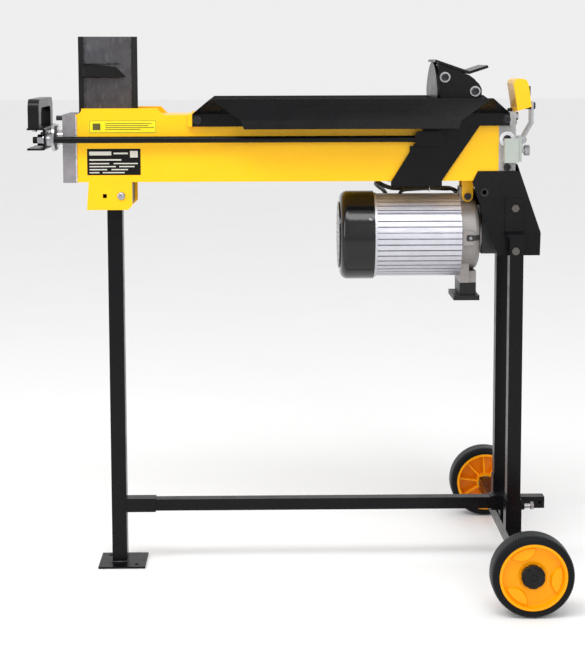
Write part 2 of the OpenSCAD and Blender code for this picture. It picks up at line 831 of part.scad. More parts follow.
module zinc_bolts() {
    color("silver") {
        // cylinder head
        for (y = head_bolt_y, z = head_bolt_z) {
            rod_x(y, z, head_x1 - 12, head_x1, 7.8);
            hex_x(y, z, head_x1, head_x1 + 5, 13);
        }
        // front leg
        both_sides() {
            turned_y(front_bolt[0], front_bolt[1])
                polygon([[0, 44], [3.9, 44], [3.9, beam_half], [7.5, beam_half], [7, beam_half + 2],
                    [4.5, beam_half + 4], [0, beam_half + 4.6]]);
            hex_y(front_bolt[0], front_bolt[1], 46, 52, 13);
        }
        // rear legs
        both_sides() {
            rod_y(leg_bolt[0], leg_bolt[1], 57, 74, 7.8);
            hex_y(leg_bolt[0], leg_bolt[1], 68.9, 74, 13);
            hex_y(leg_bolt[0], leg_bolt[1], 57.5, 62.9, 13);
            rod_y(leg_pin[0], leg_pin[1], 58, 95, 7.8);
            hex_y(leg_pin[0], leg_pin[1], 59, 65.2, 13);
            rod_y(leg_pin[0], leg_pin[1], 92.5, 96, 14);
            rod_x(rear_leg_y, clamp_z, axle_x + 12.6, axle_x + 33, 7.8);
            hex_x(rear_leg_y, clamp_z, axle_x + 33, axle_x + 38.5, 13);
        }
    }
}

module black_screws() {
    color("dimgray") {
        // log tray
        for (x = tray_screw_x) both_sides() {
            rod_y(x, tray_screw_z, 52, tray_y + tray_t / 2, tray_screw_d);
            socket_y(x, tray_screw_z, tray_y + tray_t / 2, 4, 11);
        }
        // hand guard
        for (y = guard_screw_y) {
            rod_x(y, guard_screw_z, head_x1 - 10, head_x1 + 2.5, 4.8);
            rod_x(y, guard_screw_z, head_x1 + 2.5, head_x1 + 5.5, 9);
        }
        // near face of the head: the plug inside its ring, and the lower screw
        mirror([0, 1, 0]) {
            rod_y(plug_x, plug_z, beam_half - 12, beam_half, 7.8);
            socket_y(plug_x, plug_z, beam_half, 6, 13);
            rod_y(plug_x, lower_screw_z, beam_half - 12, beam_half, 7.8);
            socket_y(plug_x, lower_screw_z, beam_half, 8, 13);
        }
        // motor hanger
        rod_y(hanger_bolt[0], hanger_bolt[1], -22, 26, 8);
        mirror([0, 1, 0]) socket_y(hanger_bolt[0], hanger_bolt[1], 22, 6, 13);
        hex_y(hanger_bolt[0], hanger_bolt[1], 22, 28, 13);
        // bleed screw on the end plate
        rod_x(bleed_y, bleed_z, end_plate_x0 - 13, end_plate_x0, 9);
        rod_x(bleed_y, bleed_z, end_plate_x0, end_plate_x0 + 12, 5.8);
    }
}

// ---------- motor and pump ----------

// The pressed cover round the fan, with a raised vent grille
module fan_cover() {
    r = 82.5;
    wall = 1.5;
    front = cover_x[0] + 3;
    color("dimgray") difference() {
        union() {
            turned_x(0, motor_z) difference() {
                union() {
                    translate([0, front]) square([r - 14, cover_x[1] - front]);
                    translate([0, front + 14]) square([r, cover_x[1] - front - 14]);
                    translate([r - 14, front + 14]) circle(r = 14);
                    translate([0, cover_x[0]]) square([62, 4]);
                }
                translate([0, front + wall]) square([r - 14, cover_x[1]]);
                translate([0, front + 14]) square([r - wall, cover_x[1]]);
                translate([r - 14, front + 14]) circle(r = 14 - wall);
            }
        }
        for (ring = [[24, 8], [38, 14], [52, 20]], i = [0:ring[1] - 1])
            translate([0, 0, motor_z]) rotate([360 * i / ring[1], 0, 0])
                block([cover_x[0] - 1, front + 3], [-2, 2], [ring[0] - 5, ring[0] + 5]);
    }
}

// The shield that carries the fan-side bearing
module rear_shield() {
    color("darkgray") turned_x(0, motor_z)
        polygon([[shaft_d / 2 + 1, 148], [80.8, 148], [80.8, cover_x[1]], [79, cover_x[1]],
            [79, body_x[0]], [61.8, body_x[0]], [61.8, 158], [24, 158], [24, shield_x],
            [bearing_d / 2, shield_x], [bearing_d / 2, 155], [shaft_d / 2 + 1, 155]]);
}

// The extruded aluminium body with cooling fins along it
module motor_body() {
    fin_depth = 7;
    gap_w = 2.2;
    wide_gap = 8;
    wide_angle = 145;
    color("silver") translate([0, 0, motor_z]) difference() {
        along_x(body_x[0], body_x[1]) difference() {
            circle(r = motor_r, $fn = 180);
            for (i = [0:fins - 1]) rotate(360 * i / fins)
                translate([motor_r - fin_depth, -gap_w / 2]) square([fin_depth + 5, gap_w]);
            for (a = [wide_angle, 180 - wide_angle]) rotate(a)
                translate([motor_r - fin_depth + 2, -wide_gap / 2]) square([fin_depth, wide_gap]);
            circle(r = 62);
        }
        rod_z(201, 0, 60, 80, lead_d + 1);
    }
}

// The wound core fixed in the motor body, with the winding heads at its ends
module stator() {
    color("peru") turned_x(0, motor_z)
        polygon([[38, 188], [61.9, 188], [61.9, 282], [38, 282]]);
    color("peru") for (x = [[172, 187.9], [282.1, 298]]) turned_x(0, motor_z)
        polygon([[42, x[0]], [57, x[0]], [59, x[0] + 3], [59, x[1] - 3], [57, x[1]], [42, x[1]]]);
}

// The grey cast cap at the pump end, with its top lug, cable box and foot
module end_cap() {
    inner_r = 58;
    foot_z = [508, 562];
    color("darkgray") difference() {
        union() {
            turned_x(0, motor_z)
                polygon([[0, cap_x[0]], [cap_r, cap_x[0]], [cap_r, cap_x[1] - 9],
                    [cap_r - 3, cap_x[1] - 3], [cap_r - 9, cap_x[1]], [36, cap_x[1]],
                    [36, pump_x[0]], [0, pump_x[0]]]);
            block([hanger_bolt[0] - 14, hanger_bolt[0] + 8], [-17, 17], [680, 717]);
            both_sides() block([312, 334], [50, 70], [614, 640]);
            block([cap_x[0] + 0.5, 328], [28, 54], [660, 688]);
            block([cap_x[0] + 0.5, 340], [-36, 36], foot_z);
            block([298, 346], [-42, 42], [foot_z[0], foot_z[0] + 9]);
            both_sides() block([cap_x[0] + 0.5, 326], [36, 42], [541, 592]);
        }
        rod_x(0, motor_z, cap_x[0] - 1, 322, 2 * inner_r);
        rod_x(0, motor_z, 321, 334, bearing_d);
        rod_x(0, motor_z, 333, pump_x[0] + 1, shaft_d + 2);
        rod_y(hanger_bolt[0], hanger_bolt[1], -20, 20, 8.5);
        both_sides() for (x = [304, 340]) rod_z(x, 30, foot_z[0] - 1, foot_z[0] + 20, 7);
    }
}

// The two rolling bearings of the motor shaft
module motor_bearings() {
    color("silver") for (x = [[155, 165], [322, 333]]) difference() {
        rod_x(0, motor_z, x[0], x[1], bearing_d);
        rod_x(0, motor_z, x[0] - 1, x[1] + 1, shaft_d + run_gap);
    }
}

// The gear pump's body, with a chamber for the two gears
module pump_body() {
    gear_x = [358, 375];
    axis_gap = gear_module * gear_teeth;
    chamber_d = gear_module * (gear_teeth + 2) + 0.6;
    color("dimgray") difference() {
        along_x(pump_x[0], pump_x[1]) rounded_rect([-36, 36], [593, 680], 12);
        for (z = [motor_z, motor_z + axis_gap]) {
            rod_x(0, z, gear_x[0] - 0.4, gear_x[1] + 0.4, chamber_d);
        }
        rod_x(0, motor_z, pump_x[0] - 1, gear_x[1] + 5, 12 + run_gap);
        rod_x(0, motor_z + axis_gap, gear_x[0] - 5, gear_x[1] + 5, 12 + run_gap);
    }
}

module rotor() {
    color("silver") {
        rod_x(0, motor_z, 190, 280, 75);
        rod_x(0, motor_z, 98, 348, shaft_d);
        rod_x(0, motor_z, 347.9, 379, 12);
    }
}

// The cooling fan on the shaft's outer end
module fan() {
    blades = 8;
    color("dimgray") difference() {
        union() {
            rod_x(0, motor_z, 102, 128, 34);
            rod_x(0, motor_z, 124, 127, 130);
            for (i = [0:blades - 1]) translate([0, 0, motor_z]) rotate([360 * i / blades, 0, 0])
                block([104, 125], [-1.5, 1.5], [16, 66]);
        }
        rod_x(0, motor_z, 100, 130, shaft_d);
    }
}

// Involute gear outline
function inv(a) = tan(a) * 180 / PI - a;
function flank(r, base, play) = 90 / gear_teeth - play + inv(25) - (r > base ? inv(acos(base / r)) : 0);

module gear_shape() {
    pitch_r = gear_module * gear_teeth / 2;
    base = pitch_r * cos(25);
    radii = [pitch_r - 1.25 * gear_module, base, base + 0.8, pitch_r, pitch_r + gear_module / 2,
        pitch_r + gear_module - 0.1];
    last = len(radii) - 1;
    polygon([for (t = [0:gear_teeth - 1], s = [-1, 1], k = [0:last])
        let (r = radii[s < 0 ? k : last - k], a = 360 * t / gear_teeth + s * flank(r, base, 0.7))
        [r * cos(a), r * sin(a)]]);
}

module drive_gear() {
    color("silver") translate([0, 0, motor_z]) along_x(358, 375) difference() {
        gear_shape();
        circle(d = 12);
    }
}

// Turned half a tooth, so that it meshes with the drive gear below it
module driven_gear() {
    axis_z = motor_z + gear_module * gear_teeth;
    color("silver") {
        translate([0, 0, axis_z]) along_x(358, 375) rotate(180 / gear_teeth) gear_shape();
        rod_x(0, axis_z, 353.5, 379.5, 12);
    }
}

// ---------- switch and cables ----------

// The switch box on the far side of the motor, with its cable glands
module switch_box() {
    wall = 3;
    color("dimgray") difference() {
        union() {
            along_y(switch_y[0], switch_y[1]) rounded_rect(switch_x, switch_z, 8);
            block([200, 260], [72, switch_y[0] + 1], [606, 650]);
            rod_z(265, 104, switch_z[0] - 14, switch_z[0] + 1, 20);
        }
        along_y(switch_y[0] + wall, switch_y[1] - wall)
            rounded_rect([switch_x[0] + wall, switch_x[1] - wall],
                [switch_z[0] + wall, switch_z[1] - wall], 5);
        rod_y(button_x, button_z, switch_y[1] - wall - 1, switch_y[1] + 1, 22.2);
        rod_z(265, 104, switch_z[0] - 15, switch_z[0] + 4, 9);
        translate([0, 0, motor_z]) rotate([0, 90, 0]) cylinder(r = motor_r + 0.4, h = 400);
    }
}

module start_button() {
    color("seagreen") {
        rod_y(button_x, button_z, switch_y[1] - 6, switch_y[1] + button_travel + 2, 22);
        rod_y(button_x, button_z, switch_y[1] - 7, switch_y[1] - 3.5, 25);
    }
}

module switch_cable() {
    color("dimgray") cable(switch_route, cable_d);
}

module motor_cable() {
    color("dimgray") cable(motor_route, lead_d);
}

// ---------- ram ----------

// The piston rod, its flange at the cross bracket and its threaded end
module piston_rod() {
    inner = web_x + web_t;
    color("gainsboro") {
        turned_x(0, ram_z)
            polygon([[0, inner], [26, inner], [26, inner + 6], [22, inner + 10.4], [0, inner + 10.4]]);
        rod_x(0, ram_z, inner + 10.3, beam_right - 32, rod_d);
        rod_x(0, ram_z, web_x - 18, inner + 0.1, 19.6);
    }
}

module piston() {
    color("silver") turned_x(0, ram_z)
        polygon([[0, beam_right - 32], [bore_d / 2 - 0.05, beam_right - 32],
            [bore_d / 2 - 0.05, beam_right - 24], [bore_d / 2 - 2, beam_right - 24],
            [bore_d / 2 - 2, beam_right - 20], [bore_d / 2 - 0.05, beam_right - 20],
            [bore_d / 2 - 0.05, beam_right - 4], [0, beam_right - 4]]);
}

// The channel that joins the piston rod to the two tie rods
module cross_bracket() {
    r = 5.5;
    color("dimgray") difference() {
        along_y(-bracket_half, bracket_half) difference() {
            union() {
                rounded_rect([-470, web_x + web_t], [bracket_z0, bracket_z1], r);
                translate([bracket_x0, bracket_z0]) square([20, bracket_z1 - bracket_z0]);
            }
            rounded_rect([-480, web_x], [bracket_z0 + web_t, bracket_z1 - web_t], r - web_t);
            translate([bracket_x0 - 1, bracket_z0 + web_t])
                square([20, bracket_z1 - bracket_z0 - 2 * web_t]);
        }
        for (s = [-1, 1]) rod_x(s * tie_y, tie_z, web_x - 1, web_x + web_t + 1, tie_d + screw_gap);
        rod_x(0, ram_z, web_x - 1, web_x + web_t + 1, 20);
        for (s = [-1, 1]) rod_z(-466, s * 74, bracket_z1 - web_t - 1, bracket_z1 + 1, 5.4);
    }
}

// The plastic pull handle on the bracket's top flange
module carry_handle() {
    color("dimgray") difference() {
        along_x(-476, -456) difference() {
            union() {
                rounded_rect([-88, 88], [840, 884], 18);
                translate([-88, bracket_z1]) square([176, 26]);
            }
            rounded_rect([-60, 60], [838, 868], 13);
            translate([-60, bracket_z1 - 1]) square([120, 22]);
        }
        for (s = [-1, 1]) rod_z(-466, s * 74, bracket_z1 - 1, bracket_z1 + 14, 5);
    }
}

module tie_rods() {
    color("dimgray") for (s = [-1, 1]) rod_x(s * tie_y, tie_z, -469, 268, tie_d);
}

// Nuts, washers and spacers on the tie rods and the piston rod, and the handle's screws
module ram_hardware() {
    inner = web_x + web_t;
    color("silver") for (s = [-1, 1]) {
        difference() {
            union() {
                rod_x(s * tie_y, tie_z, web_x - 2.5, web_x, 24);
                hex_x(s * tie_y, tie_z, web_x - 12.5, web_x - 2.5, 18);
                rod_x(s * tie_y, tie_z, inner, inner + 6, 20);
                hex_x(s * tie_y, tie_z, inner + 6, inner + 13, 18);
            }
            rod_x(s * tie_y, tie_z, -480, -400, tie_d);
        }
        rod_z(-466, s * 74, bracket_z1 - web_t - 3, bracket_z1 - web_t, 9);
        rod_z(-466, s * 74, bracket_z1 - web_t - 0.1, bracket_z1 + 12, 4.8);
    }
    color("silver") difference() {
        hex_x(0, ram_z, web_x - 14, web_x, 26);
        rod_x(0, ram_z, web_x - 20, web_x + 1, 19.6);
    }
    // washers of the pusher's bolts
    color("silver") both_sides() for (p = pusher_bolt_spots) difference() {
        rod_y(p[0], p[1], slide_y1, slide_y1 + washer_t, 19);
        rod_y(p[0], p[1], slide_y1 - 1, slide_y1 + washer_t + 1, pusher_bolt_d + screw_gap);
    }
}

// The plates that slide along the beam's sides, their keepers under it and the tie rod lugs
module slide_plates() {
    keeper = [722.5, beam_bottom - slide_gap];
    outline = [[179, keeper[0]], [272, keeper[0]], [272, 733], [343, 837], [343, 900], [338, 909],
        [328, 918], [264, 941], [264, pusher_z0], [255, pusher_z0], [219, 796], [213, 796],
        [213, 786], [179, 731]];
    color("dimgray") both_sides() difference() {
        union() {
            along_y(slide_y0, slide_y1) polygon(outline);
            block([181, 270], [45, slide_y1], keeper);
            along_y(slide_y1, tie_y + 8) rounded_rect([221, 273], [tie_z - 13, tie_z + 14], 9);
        }
        rod_x(tie_y, tie_z, 215, 268, tie_d + 0.2);
        for (p = pusher_bolt_spots) rod_y(p[0], p[1], 50, 70, pusher_bolt_d + screw_gap);
    }
}

// The arched plate that presses on the log
module pusher_face() {
    arc_r = 118;
    color("dimgray") along_x(pusher_x, pusher_x + face_t) intersection() {
        translate([0, face_top - arc_r]) circle(r = arc_r, $fn = 96);
        polygon([[-62, pusher_z0], [62, pusher_z0], [92, ridge_z], [95, 891], [95, face_top + 1],
            [-95, face_top + 1], [-95, 891], [-92, ridge_z]]);
    }
}

// The two inner ribs and the bent top plate with its raised tail
module pusher_body() {
    x0 = pusher_x + face_t;
    top = [[x0 - 5, 950.5], [321, 929], [355, 940]];
    color("dimgray") {
        both_sides() difference() {
            along_y(rib_y0, slide_y0) polygon([[x0, pusher_z0], [340, pusher_z0], [340, 905],
                [331, 917], [321, 924.5], [x0, 945.5]]);
            for (p = pusher_bolt_spots) rod_y(p[0], p[1], 50, 70, pusher_bolt_d + screw_gap);
        }
        intersection() {
            along_y(-slide_y0, slide_y0) bent_sheet(top, 5);
            union() {
                block([x0, 360], [-slide_y0, slide_y0], [900, 960]);
                block([x0 - 10, x0 + 1], [-slide_y0, slide_y0], [face_top, 960]);
            }
        }
    }
}

module pusher_bolts() {
    color("dimgray") both_sides() for (p = pusher_bolt_spots) {
        rod_y(p[0], p[1], rib_y0 + 1, slide_y1 + washer_t, pusher_bolt_d);
        socket_y(p[0], p[1], slide_y1 + washer_t, 7, 13);
    }
}

beam_side_plates();
beam_flanges();
front_end_plate();
rod_gland();
cylinder_tube();
cylinder_head();
valve_block();
seal_ring();
oil_dipstick();
lever_bracket();
hand_guard();
wedge();
wing_near();
wing_far();
front_bracket();
front_leg();
stand_bar();
axle_tube();
rear_legs();
axle_rod();
rear_cover();
motor_hanger();
zinc_bolts();
black_screws();
fan_cover();
rear_shield();
motor_body();
stator();
end_cap();
motor_bearings();
pump_body();
switch_box();
switch_cable();
motor_cable();
piston_rod();
piston();
cross_bracket();
carry_handle();
tie_rods();
ram_hardware();
slide_plates();
pusher_face();
pusher_body();
pusher_bolts();
tyre_near();
rim_near();
disc_near();
hub_cap_near();
tyre_far();
rim_far();
disc_far();
hub_cap_far();
control_lever();
lever_grip();
valve_spool();
rotor();
fan();
drive_gear();
driven_gear();
start_button();
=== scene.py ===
import json
import math
import random

import bmesh
import bpy
from mathutils import Matrix, Vector


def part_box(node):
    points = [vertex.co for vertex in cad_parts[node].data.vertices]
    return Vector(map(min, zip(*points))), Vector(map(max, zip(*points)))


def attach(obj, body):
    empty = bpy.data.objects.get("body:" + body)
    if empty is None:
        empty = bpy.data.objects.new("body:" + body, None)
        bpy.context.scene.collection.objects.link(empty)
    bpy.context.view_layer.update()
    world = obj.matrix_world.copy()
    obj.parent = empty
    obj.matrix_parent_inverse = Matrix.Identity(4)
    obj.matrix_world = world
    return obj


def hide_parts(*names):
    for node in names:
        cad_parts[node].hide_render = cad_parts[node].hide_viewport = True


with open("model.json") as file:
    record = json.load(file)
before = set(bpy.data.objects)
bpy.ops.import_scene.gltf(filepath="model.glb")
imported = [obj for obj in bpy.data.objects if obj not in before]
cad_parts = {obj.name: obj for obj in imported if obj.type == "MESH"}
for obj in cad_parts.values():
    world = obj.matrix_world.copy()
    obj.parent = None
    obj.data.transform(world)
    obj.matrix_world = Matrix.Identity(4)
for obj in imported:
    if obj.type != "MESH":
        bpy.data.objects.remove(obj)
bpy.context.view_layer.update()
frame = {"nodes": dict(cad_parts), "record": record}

NODES = frame["nodes"]
SLOT_OF = {part["node"]: part["material_slot"] for part in frame["record"]["subparts"]}
MM = 0.001
TURN = 2 * math.pi
SIDES = ((-1, "near"), (1, "far"))      # the sign of Y on each side, and the side's name


# ---------------------------------------------------------------- camera

CAMERA_AT = (-0.0429, -2.812, 0.9622)
PITCH, YAW, ROLL = 0.1036, 0.0153, 0.0027
PICTURE_HEIGHT = 650.0                  # pixels, the picture's longer side
FOCAL = 1513.0                          # pixels
AXIS_ROW = 212.0                        # the picture row that the optical axis meets
SENSOR = 36.0                           # millimetres along the picture's longer side


def make_camera():
    """The camera stands in front of the machine, a little left of its middle, at wedge height."""
    data = bpy.data.cameras.new("camera")
    cam = bpy.data.objects.new("camera", data)
    bpy.context.scene.collection.objects.link(cam)
    data.sensor_width = SENSOR
    data.lens = FOCAL / PICTURE_HEIGHT * SENSOR
    data.shift_y = (AXIS_ROW - PICTURE_HEIGHT / 2) / PICTURE_HEIGHT
    data.clip_start, data.clip_end = 0.05, 60.0
    forward = Vector((math.sin(YAW) * math.cos(PITCH), math.cos(YAW) * math.cos(PITCH),
                      -math.sin(PITCH)))
    level = Vector((math.cos(YAW), -math.sin(YAW), 0.0))
    upright = level.cross(forward)
    right = level * math.cos(ROLL) - upright * math.sin(ROLL)
    up = upright * math.cos(ROLL) + level * math.sin(ROLL)
    rows = [(right[k], up[k], -forward[k], CAMERA_AT[k]) for k in range(3)]
    cam.matrix_world = Matrix((*rows, (0, 0, 0, 1)))
    bpy.context.scene.camera = cam


# ---------------------------------------------------------------- materials

def shaded(colour, share):
    return tuple(c * share for c in colour)


class Maker:
    """Adds nodes to one material. Its methods take and return sockets; a colour may be a tuple."""

    def __init__(self, name):
        self.mat = bpy.data.materials.new(name)
        self.mat.use_nodes = True
        self.tree = self.mat.node_tree
        self.bsdf = self.tree.nodes["Principled BSDF"]
        self.coord = self.tree.nodes.new("ShaderNodeTexCoord")

    def node(self, kind, **settings):
        n = self.tree.nodes.new(kind)
        for key, value in settings.items():
            setattr(n, key, value)
        return n

    def link(self, source, target):
        self.tree.links.new(source, target)

    def set(self, name, value):
        """A value that is the same all over the surface."""
        self.bsdf.inputs[name].default_value = value

    def noise(self, scale, detail=3.0, rough=0.5, stretch=(1, 1, 1), turn=(0, 0, 0),
              distortion=0.0):
        mapping = self.node("ShaderNodeMapping")
        mapping.inputs["Scale"].default_value = stretch
        mapping.inputs["Rotation"].default_value = turn
        self.link(self.coord.outputs["Object"], mapping.inputs["Vector"])
        n = self.node("ShaderNodeTexNoise")
        n.inputs["Scale"].default_value = scale
        n.inputs["Detail"].default_value = detail
        n.inputs["Roughness"].default_value = rough
        n.inputs["Distortion"].default_value = distortion
        self.link(mapping.outputs["Vector"], n.inputs["Vector"])
        return n.outputs["Fac"]

    def ramp(self, source, low, high, at_low, at_high):
        """Goes evenly from at_low to at_high while the source goes from low to high."""
        r = self.node("ShaderNodeMapRange")
        r.inputs["From Min"].default_value = low
        r.inputs["From Max"].default_value = high
        r.inputs["To Min"].default_value = at_low
        r.inputs["To Max"].default_value = at_high
        self.link(source, r.inputs["Value"])
        return r.outputs["Result"]

    def mix(self, factor, a, b):
        """Mixes two colours, from a at factor 0 to b at factor 1."""
        factor_in, first_in, second_in, colour_out = 0, 6, 7, 2
        m = self.node("ShaderNodeMix", data_type="RGBA")
        self.link(factor, m.inputs[factor_in])
        for place, colour in ((first_in, a), (second_in, b)):
            if isinstance(colour, bpy.types.NodeSocket):
                self.link(colour, m.inputs[place])
            else:
                m.inputs[place].default_value = (*colour, 1.0)
        return m.outputs[colour_out]

    def blend(self, noise, a, b, low=0.35, high=0.65):
        """Mixes two colours in the blotches of a noise."""
        return self.mix(self.ramp(noise, low, high, 0, 1), a, b)

    def math(self, operation, *sources):
        n = self.node("ShaderNodeMath", operation=operation)
        for place, source in enumerate(sources):
            self.link(source, n.inputs[place])
        return n.outputs[0]

    def place(self):
        """The point's own X, Y and Z in the frame, in metres."""
        n = self.node("ShaderNodeSeparateXYZ")
        self.link(self.coord.outputs["Object"], n.inputs["Vector"])
        return n.outputs["X"], n.outputs["Y"], n.outputs["Z"]

    def band(self, source, low, high):
        """1 between low and high, soft over a third of a millimetre, else 0."""
        soft = 0.3 * MM
        return self.math("MULTIPLY", self.ramp(source, low - soft, low, 0, 1),
                         self.ramp(source, high, high + soft, 1, 0))

    def box(self, x_range, y_range, z_range):
        """1 inside a box given by its X, |Y| and Z ranges, else 0."""
        x, y, z = self.place()
        flat = self.math("MULTIPLY", self.band(x, *x_range), self.band(z, *z_range))
        return self.math("MULTIPLY", flat, self.band(self.math("ABSOLUTE", y), *y_range))

    def colour(self, source):
        self.link(source, self.bsdf.inputs["Base Color"])

    def cover(self, mask, colour):
        """Lays a colour over the base colour where the mask is 1."""
        below = self.bsdf.inputs["Base Color"].links[0].from_socket
        self.colour(self.mix(mask, below, colour))

    def roughness(self, noise, smooth, dull):
        self.link(self.ramp(noise, 0.3, 0.7, smooth, dull), self.bsdf.inputs["Roughness"])

    def bump(self, sources, strength, distance):
        """Chains bump nodes over (noise, share of the strength) pairs."""
        last = None
        for source, share in sources:
            b = self.node("ShaderNodeBump")
            b.inputs["Strength"].default_value = strength * share
            b.inputs["Distance"].default_value = distance
            self.link(source, b.inputs["Height"])
            if last:
                self.link(last.outputs["Normal"], b.inputs["Normal"])
            last = b
        self.link(last.outputs["Normal"], self.bsdf.inputs["Normal"])


def paint(name, base, rough, shade, peel, coat=0.0, specks=0.0, dust=0.0, spec=0.5, bare=None):
    """Powder coat or sprayed paint: orange peel, slight tone changes, a few specks and dust.

    bare is a spot where dark metal shows instead, given by its X, |Y| and Z ranges."""
    m = Maker(name)
    tone = m.blend(m.noise(9.0, 4.0, 0.6), shaded(base, shade), base)
    if specks:
        lit = tuple(min(1.0, c * 1.25 + specks) for c in base)
        tone = m.blend(m.noise(310.0, 2.0), tone, lit, 0.69, 0.73)
    if dust:
        grey = tuple(c * 0.5 + dust for c in base)
        tone = m.blend(m.noise(26.0, 6.0, 0.7, distortion=0.6), tone, grey, 0.52, 0.75)
    m.colour(tone)
    if bare:
        m.cover(m.box(*bare), (0.03, 0.03, 0.032))
    m.roughness(m.noise(34.0, 5.0, 0.6), rough * 0.82, rough * 1.25)
    m.bump([(m.noise(230.0, 2.0), 1.0), (m.noise(900.0, 2.0), 0.5)], peel, 0.6 * MM)
    m.set("Specular IOR Level", spec)
    if coat:
        m.set("Coat Weight", coat)
        m.set("Coat Roughness", 0.06)
    return m.mat


def metal(name, base, rough, shade, metallic, grain, brushed=False, aged=None):
    """Plated or machined metal, brushed along X if asked.

    aged is a spot where it is dull and brown, given by its X, |Y| and Z ranges."""
    m = Maker(name)
    streak = m.noise(700.0, 3.0, 0.6, (0.03, 1, 1) if brushed else (1, 1, 1))
    m.colour(m.blend(m.noise(60.0, 4.0, 0.6), shaded(base, shade), base))
    if aged:
        m.cover(m.box(*aged), (0.13, 0.12, 0.11))
    m.roughness(streak, rough * 0.75, rough * 1.3)
    m.bump([(streak, 1.0)], grain, 0.3 * MM)
    m.set("Metallic", metallic)
    return m.mat


def casting(name, base, rough, pits, shade=0.75, metallic=0.0, black_below=None, recess_shade=None):
    """Rough sand casting: pitted bump, darker pores and blotches.

    It is painted black under the height black_below, and painted shade darkens a recess
    given by its X, |Y| and Z ranges."""
    m = Maker(name)
    grain, blotch = m.noise(420.0, 5.0, 0.7), m.noise(38.0, 5.0, 0.65)
    tone = m.blend(blotch, shaded(base, shade), base)
    m.colour(m.mix(m.ramp(grain, 0.3, 0.42, 1, 0), tone, shaded(base, 0.6)))
    if black_below is not None:
        height = m.place()[2]
        m.cover(m.band(height, -0.1, black_below), (0.010, 0.010, 0.011))
    # painted shade in the recess
    if recess_shade:
        m.cover(m.box(*recess_shade), (0.035, 0.032, 0.030))
    m.roughness(blotch, rough * 0.85, rough * 1.15)
    m.bump([(grain, 1.0), (m.noise(1300.0, 2.0), 0.4)], pits, 0.8 * MM)
    m.set("Metallic", metallic)
    return m.mat


def plastic(name, base, rough, grain, grain_scale=1100.0, shade=0.85, spec=0.5):
    """Moulded plastic or rubber: fine spark-eroded grain and faint flow marks."""
    m = Maker(name)
    flow = m.noise(18.0)
    m.colour(m.blend(flow, shaded(base, shade), base))
    m.roughness(flow, rough * 0.85, rough * 1.2)
    m.bump([(m.noise(grain_scale, 3.0, 0.6), 1.0)], grain, 0.4 * MM)
    m.set("Specular IOR Level", spec)
    return m.mat


def wedge_finish(name):
    """Dark paint over flame-cut steel: slanted grey scuffs, and black edges and side wings."""
    m = Maker(name)
    stroke = m.noise(120.0, 6.0, 0.7, (1.0, 1.0, 0.35), (0.0, 0.5, 0.0))
    cloud = m.noise(22.0, 5.0, 0.65)
    steel = m.blend(cloud, (0.046, 0.044, 0.051), (0.074, 0.072, 0.080))
    m.colour(m.blend(stroke, steel, (0.12, 0.12, 0.127), 0.52, 0.75))
    lo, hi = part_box("wedge")
    x, y, z = m.place()
    black, nose_black = (0.006, 0.006, 0.007), (0.012, 0.012, 0.013)
    m.cover(m.band(x, lo.x - 10 * MM, lo.x + 9.5 * MM), black)
    m.cover(m.band(x, hi.x - 11 * MM, hi.x + 10 * MM), nose_black)
    m.cover(m.band(z, lo.z - 10 * MM, lo.z + 3 * MM), black)
    # the side wings: what stands out past the wedge's sloping side, in the wings' height
    wing = m.band(z, lo.z + 67.5 * MM, lo.z + 92.6 * MM)
    slope = m.ramp(x, lo.x + 10 * MM, hi.x - 4 * MM, 31.8 * MM, 3.5 * MM)
    beyond = m.math("GREATER_THAN", m.math("ABSOLUTE", y), slope)
    m.cover(m.math("MULTIPLY", wing, beyond), black)
    m.roughness(cloud, 0.38, 0.62)
    m.bump([(stroke, 1.0), (m.noise(800.0, 2.0), 0.5)], 0.35, 0.8 * MM)
    m.set("Specular IOR Level", 0.2)
    return m.mat


def weld_finish(name, base, tint, metallic, rough):
    """A weld bead with heat colours along it."""
    m = Maker(name)
    heat = m.noise(160.0)
    m.colour(m.blend(heat, base, tint, 0.38, 0.62))
    m.roughness(heat, rough * 0.8, rough * 1.3)
    m.bump([(m.noise(900.0), 1.0)], 0.4, 0.6 * MM)
    m.set("Metallic", metallic)
    return m.mat


YELLOW = (1.0, 0.535, 0.0)
ZINC = (0.42, 0.42, 0.44)

